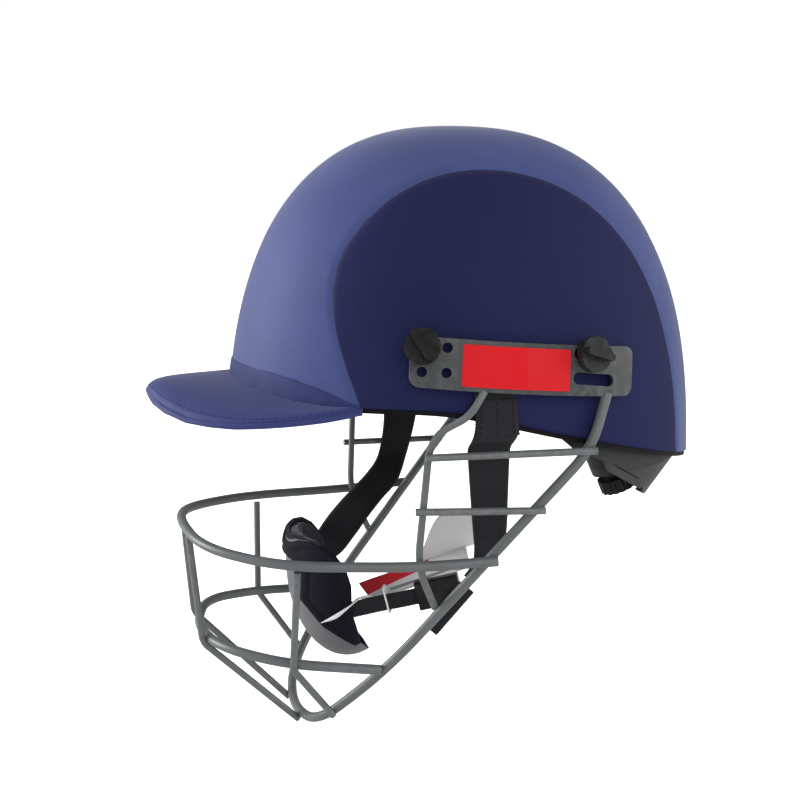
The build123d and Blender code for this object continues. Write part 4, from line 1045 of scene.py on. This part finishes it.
class HELMET_OT_guard(bpy.types.Operator):
    """Finish the face guard, its side plates, labels and thumb screws"""

    bl_idname = "helmet.guard"
    bl_label = "Face guard"

    def execute(self, context):
        bars = ("side_wire", "top_bar", "second_bar", "outer_upright", "middle_upright")
        finish_nodes("wire coat", ["frame_wire", "upper_ring", "lower_ring"])
        for _, side in SIDES:
            finish_nodes("wire coat", [f"{bar}_{side}" for bar in bars])
            finish_nodes("powder coat", [f"side_plate_{side}"], bevel=0.5)
            finish_nodes("label gloss", [f"side_label_{side}"])
            for end in ("front", "rear"):
                finish_nodes(f"{end} screw plastic", [f"{end}_thumb_screw_{side}"], bevel=0.4)
                finish_nodes("washer steel", [f"{end}_washer_{side}"], bevel=0.2)
        finish_nodes("washer steel", ["screw_nuts", "strap_rivets"])
        finish_nodes("spacer rubber", ["plate_spacers"])
        finish_nodes("shell plastic", ["shell"])
        finish_nodes("edge rubber", ["edge_trim"])
        return {"FINISHED"}


# Straps and buckle


def level_rows(rows):
    """Rows of two edge points that share X and Z, from rows of X, two places along Y, and Z."""
    return [(x, first, z, x, second, z) for x, first, second, z in rows]


# Chin straps as rows of two edge points, from the rivet down
NEAR_STRAP = level_rows([
    (100.4, 10.7, 31.3, 40.0),
    (102.2, 10.6, 31.3, 28.0),
    (103.6, 11.6, 31.4, 15.5),
    (105.2, 11.6, 31.8, 4.0),
    (104.2, 11.0, 32.8, -1.6),
    (98.0, 11.6, 33.4, -5.6),
    (91.6, 12.0, 33.5, -9.6),
    (88.9, 12.7, 33.7, -15.0),
    (84.3, 15.4, 34.6, -35.0),
    (79.6, 18.4, 35.4, -55.5),
    (75.0, 20.2, 33.4, -63.5),
    (68.8, 21.2, 30.3, -72.8),
    (57.0, 20.2, 28.9, -82.4),
])
FAR_STRAP = level_rows([
    (-100.4, 31.3, 10.7, 40.0),
    (-102.2, 31.3, 10.6, 28.0),
    (-103.6, 31.4, 11.6, 15.5),
    (-105.2, 31.4, 11.6, 4.0),
    (-104.2, 31.4, 11.0, -1.6),
    (-97.0, 31.4, 10.5, -5.6),
    (-89.8, 31.5, 10.5, -10.6),
    (-88.2, 31.5, 10.5, -16.0),
]) + [
    (-87.9, 28.8, -30.5, -87.9, 9.6, -32.0),
    (-87.4, 24.6, -46.0, -86.6, 5.8, -48.0),
    (-75.2, 16.0, -60.4, -79.0, -2.3, -56.0),
    (-66.3, 4.5, -69.4, -73.0, -11.5, -62.9),
    (-53.5, -6.5, -76.4, -65.5, -22.0, -70.4),
    (-40.8, -17.2, -84.2, -52.0, -32.5, -76.8),
    (-39.6, -26.2, -94.0, -40.8, -39.0, -81.6),
    (-39.6, -36.6, -98.2, -39.6, -40.6, -89.6),
]

# Thin strap and loose end, on the buckle's line from the mouth of the cup's pocket
THIN_START, THIN_LENGTH, THIN_HALF_WIDTH, THIN_DEPTH = -8.0, 44.0, 4.3, 1.4
TAIL_ALONG, TAIL_DOWN, TAIL_OUT, TAIL_HALF_WIDTH = 50.5, 8.6, 4.15, 4.7
TAIL_LENGTH, TAIL_LEAN, TAIL_SAG = 30.0, 37.0, 0.2


def buckle_frame():
    """Mouth of the cup's pocket, and the unit lines along, up and out of the buckle."""
    mouth = np.array([33.0, -34.0, -104.0])
    line = unit(np.array([54.0, 27.0, -88.0]) - mouth)
    up = unit(UPWARD - line * line[2])
    return mouth, line, up, np.cross(line, up)


def edge_rows(centres, across):
    """Rows of two edge points, on both sides of a row of centres."""
    return [(*(centre - across), *(centre + across)) for centre in centres]


def make_thin_strap(mouth, line, up, face):
    """Thin strap from the cup to the buckle's tongue, with a slight wave along it, left on no body."""
    shares = np.linspace(0, 1, 7)
    waves = [face * (0.35 * math.sin(9.0 * share)) for share in shares]
    centres = [mouth + line * (THIN_START + THIN_LENGTH * s) + wave for s, wave in zip(shares, waves)]
    thin = ribbon_object("thin_strap_webbing", edge_rows(centres, up * THIN_HALF_WIDTH), THIN_DEPTH)
    set_material(thin, "webbing")
    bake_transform(thin)
    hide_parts("thin_strap")


def make_loose_end(mouth, line, up, face, depth):
    lean = math.radians(TAIL_LEAN)
    run = line * math.cos(lean) + up * math.sin(lean)
    cross = up * math.cos(lean) - line * math.sin(lean)
    middle = mouth + line * TAIL_ALONG - up * TAIL_DOWN + face * TAIL_OUT
    shares = np.linspace(-0.5, 0.5, 7)
    centres = [middle + run * (TAIL_LENGTH * s) - face * (TAIL_SAG * (s < 0)) for s in shares]
    tail = ribbon_object("loose_strap_end", edge_rows(centres, cross * TAIL_HALF_WIDTH), depth)
    dress(tail, "webbing", "chin_strap", ["strap_tail"])


def make_sewn_patch():
    """Doubled and sewn webbing where the near strap leaves the rivet."""
    rows = [(x + 1.1, a, z, x + 1.1, b + 0.6, z) for x, a, z, _, b, _ in NEAR_STRAP[2:5]]
    patch = ribbon_object("near_strap_sewn_patch", rows, 0.7)
    dress(patch, "webbing", "chin_strap")
    top = smooth_row(rows, 1.5)
    for index, share in enumerate((0.12, 0.5, 0.88)):
        line = top[:, :3] * (1 - share) + top[:, 3:] * share + OUTWARD_LEFT * 0.3
        normals = np.tile(OUTWARD_LEFT, (len(line), 1))
        name = f"near_strap_stitches_{index + 1}"
        stitches = stitch_object(name, line, normals, length=1.8, gap=0.9, radius=0.2)
        dress(stitches, "black thread", "chin_strap")


class HELMET_OT_straps(bpy.types.Operator):
    """Build the chin straps, the thin strap, the loose end and the buckle's finish"""

    bl_idname = "helmet.straps"
    bl_label = "Chin straps"

    def execute(self, context):
        depth = context.scene.helmet_sizes.webbing / MM
        near = ribbon_object("near_strap_webbing", NEAR_STRAP, depth)
        dress(near, "webbing", "chin_strap", ["chin_strap_left"])
        far = ribbon_object("far_strap_webbing", FAR_STRAP, depth)
        dress(far, "webbing", "chin_strap", ["chin_strap_right"])
        make_sewn_patch()
        make_thin_strap(*buckle_frame())
        make_loose_end(*buckle_frame(), depth)
        finish_nodes("buckle plastic", ["buckle_socket", "buckle_tongue"], bevel=0.5)
        return {"FINISHED"}


# Outlines of the cup and of its cloth cover in the side view, as Y and Z
CUP_OUTLINE = (
    (-75.0, -75.5), (-64.0, -73.5), (-59.5, -69.0), (-55.0, -68.0), (-49.0, -69.0), (-43.0, -73.0),
    (-37.5, -80.0), (-34.5, -90.0), (-34.0, -104.0), (-27.0, -125.0), (-19.0, -134.0),
    (-19.0, -150.0), (-75.0, -150.0),
)
COVER_OUTLINE = CUP_OUTLINE[:10] + (
    (-30.0, -127.0), (-47.5, -115.0), (-59.0, -101.0), (-58.5, -86.0), (-62.0, -81.0),
    (-75.0, -81.0),
)


def outline_reach(outline, points):
    """Depth inside an outline of the side view, below zero outside, and the nearest place on it."""
    flat = points[..., 1:]
    nearest, least = np.zeros_like(flat), np.full(flat.shape[:-1], np.inf)
    inside = np.zeros(flat.shape[:-1], bool)
    for start, end in zip(outline, outline[1:] + outline[:1]):
        start, edge = np.array(start), np.array(end) - np.array(start)
        share = np.clip(((flat - start) @ edge) / (edge @ edge), 0, 1)
        spot = start + share[..., None] * edge
        gap = np.linalg.norm(flat - spot, axis=-1)
        nearest = np.where((gap < least)[..., None], spot, nearest)
        least = np.minimum(gap, least)
        if edge[1]:
            beside = flat[..., 0] < start[0] + (flat[..., 1] - start[1]) * edge[0] / edge[1]
            inside ^= ((start[1] > flat[..., 1]) != (end[1] > flat[..., 1])) & beside
    return np.where(inside, least, -least), nearest


def cup_sheet(name, outline, inset, shape, inner=False):
    """A sheet on the chin cup's form, cut to an outline of the side view and shaped by a function."""
    width, forward, depth = CUP_WIDTH - inset, CUP_FORWARD - inset, CUP_DEPTH - inset
    upper = np.linspace(-CUP_SKIRT, 0, 28)[:-1]
    runs = np.concatenate([upper, np.linspace(0, depth * math.pi / 2, 88)])
    turn, run = np.meshgrid(np.linspace(-math.pi, math.pi, 261), runs)
    angle = np.clip(run / depth, 0, math.pi / 2)
    z = CUP_CENTRE_Z - np.where(run > 0, depth * np.sin(angle), run)
    x = width * np.cos(angle) * np.sin(turn)
    y = CUP_CENTRE_Y - forward * np.cos(angle) * np.cos(turn)
    reach, nearest = outline_reach(outline, np.stack([x, y, z], axis=-1))
    edge = (reach < 0) & (reach > -CUP_EDGE)
    y, z = np.where(edge, nearest[..., 0], y), np.where(edge, nearest[..., 1], z)
    low = np.clip((CUP_CENTRE_Z - z) / depth, 0, 1)
    across = np.clip(1 - low**2 - ((y - CUP_CENTRE_Y) / forward) ** 2, 0, None)
    x = np.where(edge, np.sign(x) * width * np.sqrt(across), x)
    points = np.stack([x, y, z], axis=-1)
    fall = np.minimum(z - CUP_CENTRE_Z, 0)
    away = unit(np.stack([x / width**2, (y - CUP_CENTRE_Y) / forward**2, fall / depth**2], axis=-1))
    points = points + away * shape(points, turn, np.clip(reach, 0, None))[..., None]
    mesh = bmesh.new()
    layer = mesh.loops.layers.uv.new("cloth")
    made = {}
    for i in range(len(runs) - 1):
        for j in range(turn.shape[1] - 1):
            corners = [(i, j), (i + 1, j), (i + 1, j + 1), (i, j + 1)]
            depths = [reach[spot] for spot in corners]
            if min(depths) < -CUP_EDGE or max(depths) < 0:
                continue
            for spot in corners:
                if spot not in made:
                    made[spot] = mesh.verts.new(points[spot] * MM)
            order = corners[::-1] if inner else corners
            face = mesh.faces.new([made[spot] for spot in order])
            for corner, spot in zip(face.loops, order):
                corner[layer].uv = (turn[spot] * width * MM, run[spot] * MM)
    bmesh.ops.remove_doubles(mesh, verts=mesh.verts, dist=0.04 * MM)
    return bmesh_object(name, mesh)


def cover_shape(points, turn, reach):
    """Lift of the cup's cloth: a padded edge with a groove behind it."""
    piping = 0.7 * dent(reach - 2.0, 1.4) - 0.45 * dent(reach - 4.4, 0.7) - 0.6 * dent(reach, 0.5)
    return 0.3 * lumps(points, 12.0, 6.0) + piping


def cup_pad_shape(points, turn, reach):
    """Lift of the cup's pad: full inside its lip, with two sewn channels."""
    channel = dent(np.abs(turn) - 0.62, 0.05) * np.clip(reach / 5.0, 0, 1)
    full = np.clip(reach / 7.0, 0, 1) ** 0.5
    return 1.4 * channel - 0.5 * full + 0.3 * lumps(points, 7.0, 9.0)


class HELMET_OT_cup(bpy.types.Operator):
    """Build the chin cup's cloth cover and soft pad"""

    bl_idname = "helmet.cup"
    bl_label = "Chin cup"

    def execute(self, context):
        finish_nodes("cup plastic", ["chin_cup_shell"], bevel=0.4)
        cover = thicken(cup_sheet("chin_cup_cloth", COVER_OUTLINE, 0.0, cover_shape), CUP_COVER_DEPTH)
        dress(cover, "cup cloth", "chin_strap", ["chin_cup_cover"])
        pad = cup_sheet("chin_cup_soft_pad", CUP_OUTLINE, CUP_PAD_INSET, cup_pad_shape, inner=True)
        soften(pad, "even rim", 12)
        thicken(pad, CUP_PAD_DEPTH).modifiers["thickness"].use_even_offset = False
        soften(pad, "soft lip", 5)
        dress(pad, "pad knit", "chin_strap", ["chin_cup_pad"])
        return {"FINISHED"}


class HELMET_OT_adjuster(bpy.types.Operator):
    """Finish the rear adjuster's wings, barrel and dial"""

    bl_idname = "helmet.adjuster"
    bl_label = "Rear adjuster"

    def execute(self, context):
        finish_nodes("adjuster plastic", ["adjuster_wing_left", "adjuster_wing_right"], bevel=0.3)
        finish_nodes("adjuster plastic", ["adjuster_barrel", "adjuster_cap", "adjuster_hanger"], bevel=0.4)
        finish_nodes("dial plastic", ["adjuster_dial", "adjuster_pinion"], bevel=0.3)
        return {"FINISHED"}


# Swing tag: its corner on the buckle's lines, the lie of its fold, and the size of its page
TAG_EDGE, TAG_ACROSS = np.array([0.06, 0.93, 0.29]), np.array([-0.97, 0.0, 0.2])
TAG_ALONG, TAG_UP, TAG_BEHIND = 19.8, 1.8, 3.7
PAGE_WIDTH, PAGE_THICKNESS, PAGE_START, PAGE_END = 22.0, 0.5, -8.0, 46.0
PAGE_START_SLANT, PAGE_END_SLANT, PAGE_GAP = -3.0, 4.0, 0.55

# Bent corner of the tag, from behind the thin strap over its top edge to the outside of the cup
TAG_TIP = [
    (34.0, -25.1, -99.4, 34.9, -21.0, -97.6),
    (34.4, -29.6, -97.9, 35.2, -25.0, -96.1),
    (36.3, -32.2, -97.7, 37.2, -27.8, -95.8),
    (38.9, -36.6, -101.4, 39.3, -32.6, -97.8),
    (37.6, -42.2, -106.6, 38.3, -39.6, -102.3),
    (31.6, -49.4, -110.6, 31.8, -49.0, -110.0),
]

# Lower and upper line of the standing page, along the fold and up from it
PAGE_LOW = [(22.5, -0.2), (45.0, -0.3), (62.0, -0.2), (69.0, 4.0), (79.5, 10.8)]
PAGE_HIGH = [(23.5, 0.6), (28.0, 8.0), (41.0, 21.2), (58.0, 18.4), (79.5, 11.2)]


def make_lying_page(corner, edge, across):
    """The page that lies behind the thin strap, slightly cockled."""
    over = np.cross(edge, across)
    columns = []
    for s in np.linspace(0, 1, 60):
        column = []
        for t in np.linspace(0, 1, 20):
            first, last = PAGE_START + PAGE_START_SLANT * t, PAGE_END + PAGE_END_SLANT * t
            run = first * (1 - s) + last * s
            curl = 1.08 * max(t - 0.85, 0) * (s > 0.6)
            lift = PAGE_GAP + 0.15 * math.sin(run * 0.16 + t * 2.0) + curl
            column.append(corner + edge * run + across * (PAGE_WIDTH * t) + over * lift)
        columns.append(column)
    page = thicken(grid_object("swing_tag_lying_page", np.array(columns), flip=True), PAGE_THICKNESS)
    dress(page, "tag card", "chin_strap", ["swing_tag"])


def make_standing_page(corner, edge, rise):
    """The page that stands up behind the near strap."""
    ends = []
    for line in (PAGE_LOW, PAGE_HIGH):
        row = smooth_row(line, 1.5)
        ends.append(sample(row, np.linspace(0, 1, len(row)), np.linspace(0, 1, 50)))
    rows = []
    for k in np.linspace(0, 1, 18):
        flat = ends[0] * (1 - k) + ends[1] * k
        bow = (0.5 * np.sin(flat[:, :1] * 0.09) + 0.35) * OUTWARD_LEFT
        rows.append(corner + edge * flat[:, :1] + rise * flat[:, 1:] + bow)
    page = thicken(grid_object("swing_tag_standing_page", np.array(rows)), PAGE_THICKNESS, 0.0)
    dress(page, "tag page", "chin_strap")


class HELMET_OT_tag(bpy.types.Operator):
    """Build the plain folded swing tag"""

    bl_idname = "helmet.tag"
    bl_label = "Swing tag"

    def execute(self, context):
        mouth, line, up, face = buckle_frame()
        edge = unit(TAG_EDGE)
        across = unit(TAG_ACROSS - edge * (TAG_ACROSS @ edge))
        corner = mouth + line * TAG_ALONG + up * TAG_UP - face * TAG_BEHIND
        make_lying_page(corner, edge, across)
        rise = unit(np.cross(OUTWARD_LEFT - edge * edge[0], edge))
        make_standing_page(corner + across * PAGE_WIDTH, edge, rise)
        tip = ribbon_object("swing_tag_tip", TAG_TIP, PAGE_THICKNESS, serration=0.0)
        dress(tip, "tag page", "chin_strap")
        finish_nodes("tie plastic", ["tag_tie"])
        return {"FINISHED"}


# Stage: place in metres, size and power of each light
LIGHTS = {
    "key light": ((-0.9, -2.05, 0.55), 1.2, 50.0),
    "side light": ((2.0, 0.1, 0.9), 1.6, 16.0),
    "back light": ((0.5, 1.9, 0.5), 1.2, 13.0),
    "top light": ((0.0, 0.0, 2.3), 1.4, 5.0),
}
CAMERA_PLACE, CAMERA_LENS, CAMERA_SENSOR = (0.7218, -0.1666, 0.1173), 63.0, 36.0
FLOOR_REACH, FLOOR_GAP = 6000.0, 0.5


def aimed(name, data, place):
    """A light or a camera that looks at the middle of the frame."""
    made = link_object(name, data)
    made.location = place
    made.rotation_euler = (-Vector(place)).to_track_quat("-Z", "Y").to_euler()
    return made


def make_floor():
    """White floor that glows to the camera only."""
    lines = [[(x, y, 0.0) for x in (-FLOOR_REACH, FLOOR_REACH)] for y in (-FLOOR_REACH, FLOOR_REACH)]
    floor = grid_object("floor", np.array(lines))
    floor.location.z = CAD_BOX[0].z - FLOOR_GAP * MM
    kit = new_material("floor", (0.88, 0.88, 0.88), 0.9)[0]
    parts = kit.tree.nodes
    seen = kit.add("ShaderNodeLightPath").outputs["Is Camera Ray"]
    glow = kit.add("ShaderNodeEmission", in_Color=(1.0, 1.0, 1.0, 1.0), in_Strength=seen)
    both = kit.add("ShaderNodeAddShader")
    kit.feed(both.inputs[0], parts["Principled BSDF"].outputs[0])
    kit.feed(both.inputs[1], glow.outputs[0])
    kit.feed(parts["Material Output"].inputs["Surface"], both.outputs[0])
    set_material(floor, "floor")


def make_world(scene):
    """Studio light that is brighter where the camera sees it."""
    world = bpy.data.worlds.new("studio")
    world.use_nodes = True
    scene.world = world
    kit = Nodes(world.node_tree)
    background = world.node_tree.nodes["Background"].inputs
    rays = kit.add("ShaderNodeLightPath").outputs
    seen = kit.math("MAXIMUM", rays["Is Camera Ray"], rays["Is Transmission Ray"])
    background["Color"].default_value = (1.0, 1.0, 1.0, 1.0)
    kit.feed(background["Strength"], kit.math("MULTIPLY_ADD", seen, 0.65, 0.35))


class HELMET_OT_stage(bpy.types.Operator):
    """Make the floor, the soft lights, the world and the camera"""

    bl_idname = "helmet.stage"
    bl_label = "Stage"

    def execute(self, context):
        scene = context.scene
        make_floor()
        make_world(scene)
        for name, (place, size, power) in LIGHTS.items():
            lamp = bpy.data.lights.new(name, "AREA")
            lamp.size, lamp.energy = size, power
            aimed(name, lamp, place)
        camera = bpy.data.cameras.new("camera")
        camera.lens, camera.sensor_width = CAMERA_LENS, CAMERA_SENSOR
        camera.clip_start, camera.clip_end = 0.01, 50.0
        scene.camera = aimed("camera", camera, CAMERA_PLACE)
        scene.view_settings.view_transform = "Standard"
        return {"FINISHED"}


OPERATORS = (
    HELMET_OT_materials,
    HELMET_OT_stage,
    HELMET_OT_cover,
    HELMET_OT_peak,
    HELMET_OT_inside,
    HELMET_OT_guard,
    HELMET_OT_straps,
    HELMET_OT_cup,
    HELMET_OT_adjuster,
    HELMET_OT_tag,
)


class HELMET_PT_panel(bpy.types.Panel):
    """Lists the helmet's colours, sizes and steps"""

    bl_label = "Helmet"
    bl_idname = "HELMET_PT_panel"
    bl_space_type = "VIEW_3D"
    bl_region_type = "UI"
    bl_category = "Helmet"

    def draw(self, context):
        column = self.layout.column()
        for group in (context.scene.helmet_colours, context.scene.helmet_sizes):
            for name in group.bl_rna.properties.keys():
                if name not in ("rna_type", "name"):
                    column.prop(group, name)
        for operator in OPERATORS:
            column.operator(operator.bl_idname)


CLASSES = (HELMET_PG_colours, HELMET_PG_sizes, *OPERATORS, HELMET_PT_panel)


def register():
    for item in CLASSES:
        bpy.utils.register_class(item)
    bpy.types.Scene.helmet_colours = bpy.props.PointerProperty(type=HELMET_PG_colours)
    bpy.types.Scene.helmet_sizes = bpy.props.PointerProperty(type=HELMET_PG_sizes)


def unregister():
    del bpy.types.Scene.helmet_sizes
    del bpy.types.Scene.helmet_colours
    for item in reversed(CLASSES):
        bpy.utils.unregister_class(item)


def main():
    register()
    for operator in OPERATORS:
        group, name = operator.bl_idname.split(".")
        getattr(getattr(bpy.ops, group), name)()


if __name__ == "__main__":
    main()
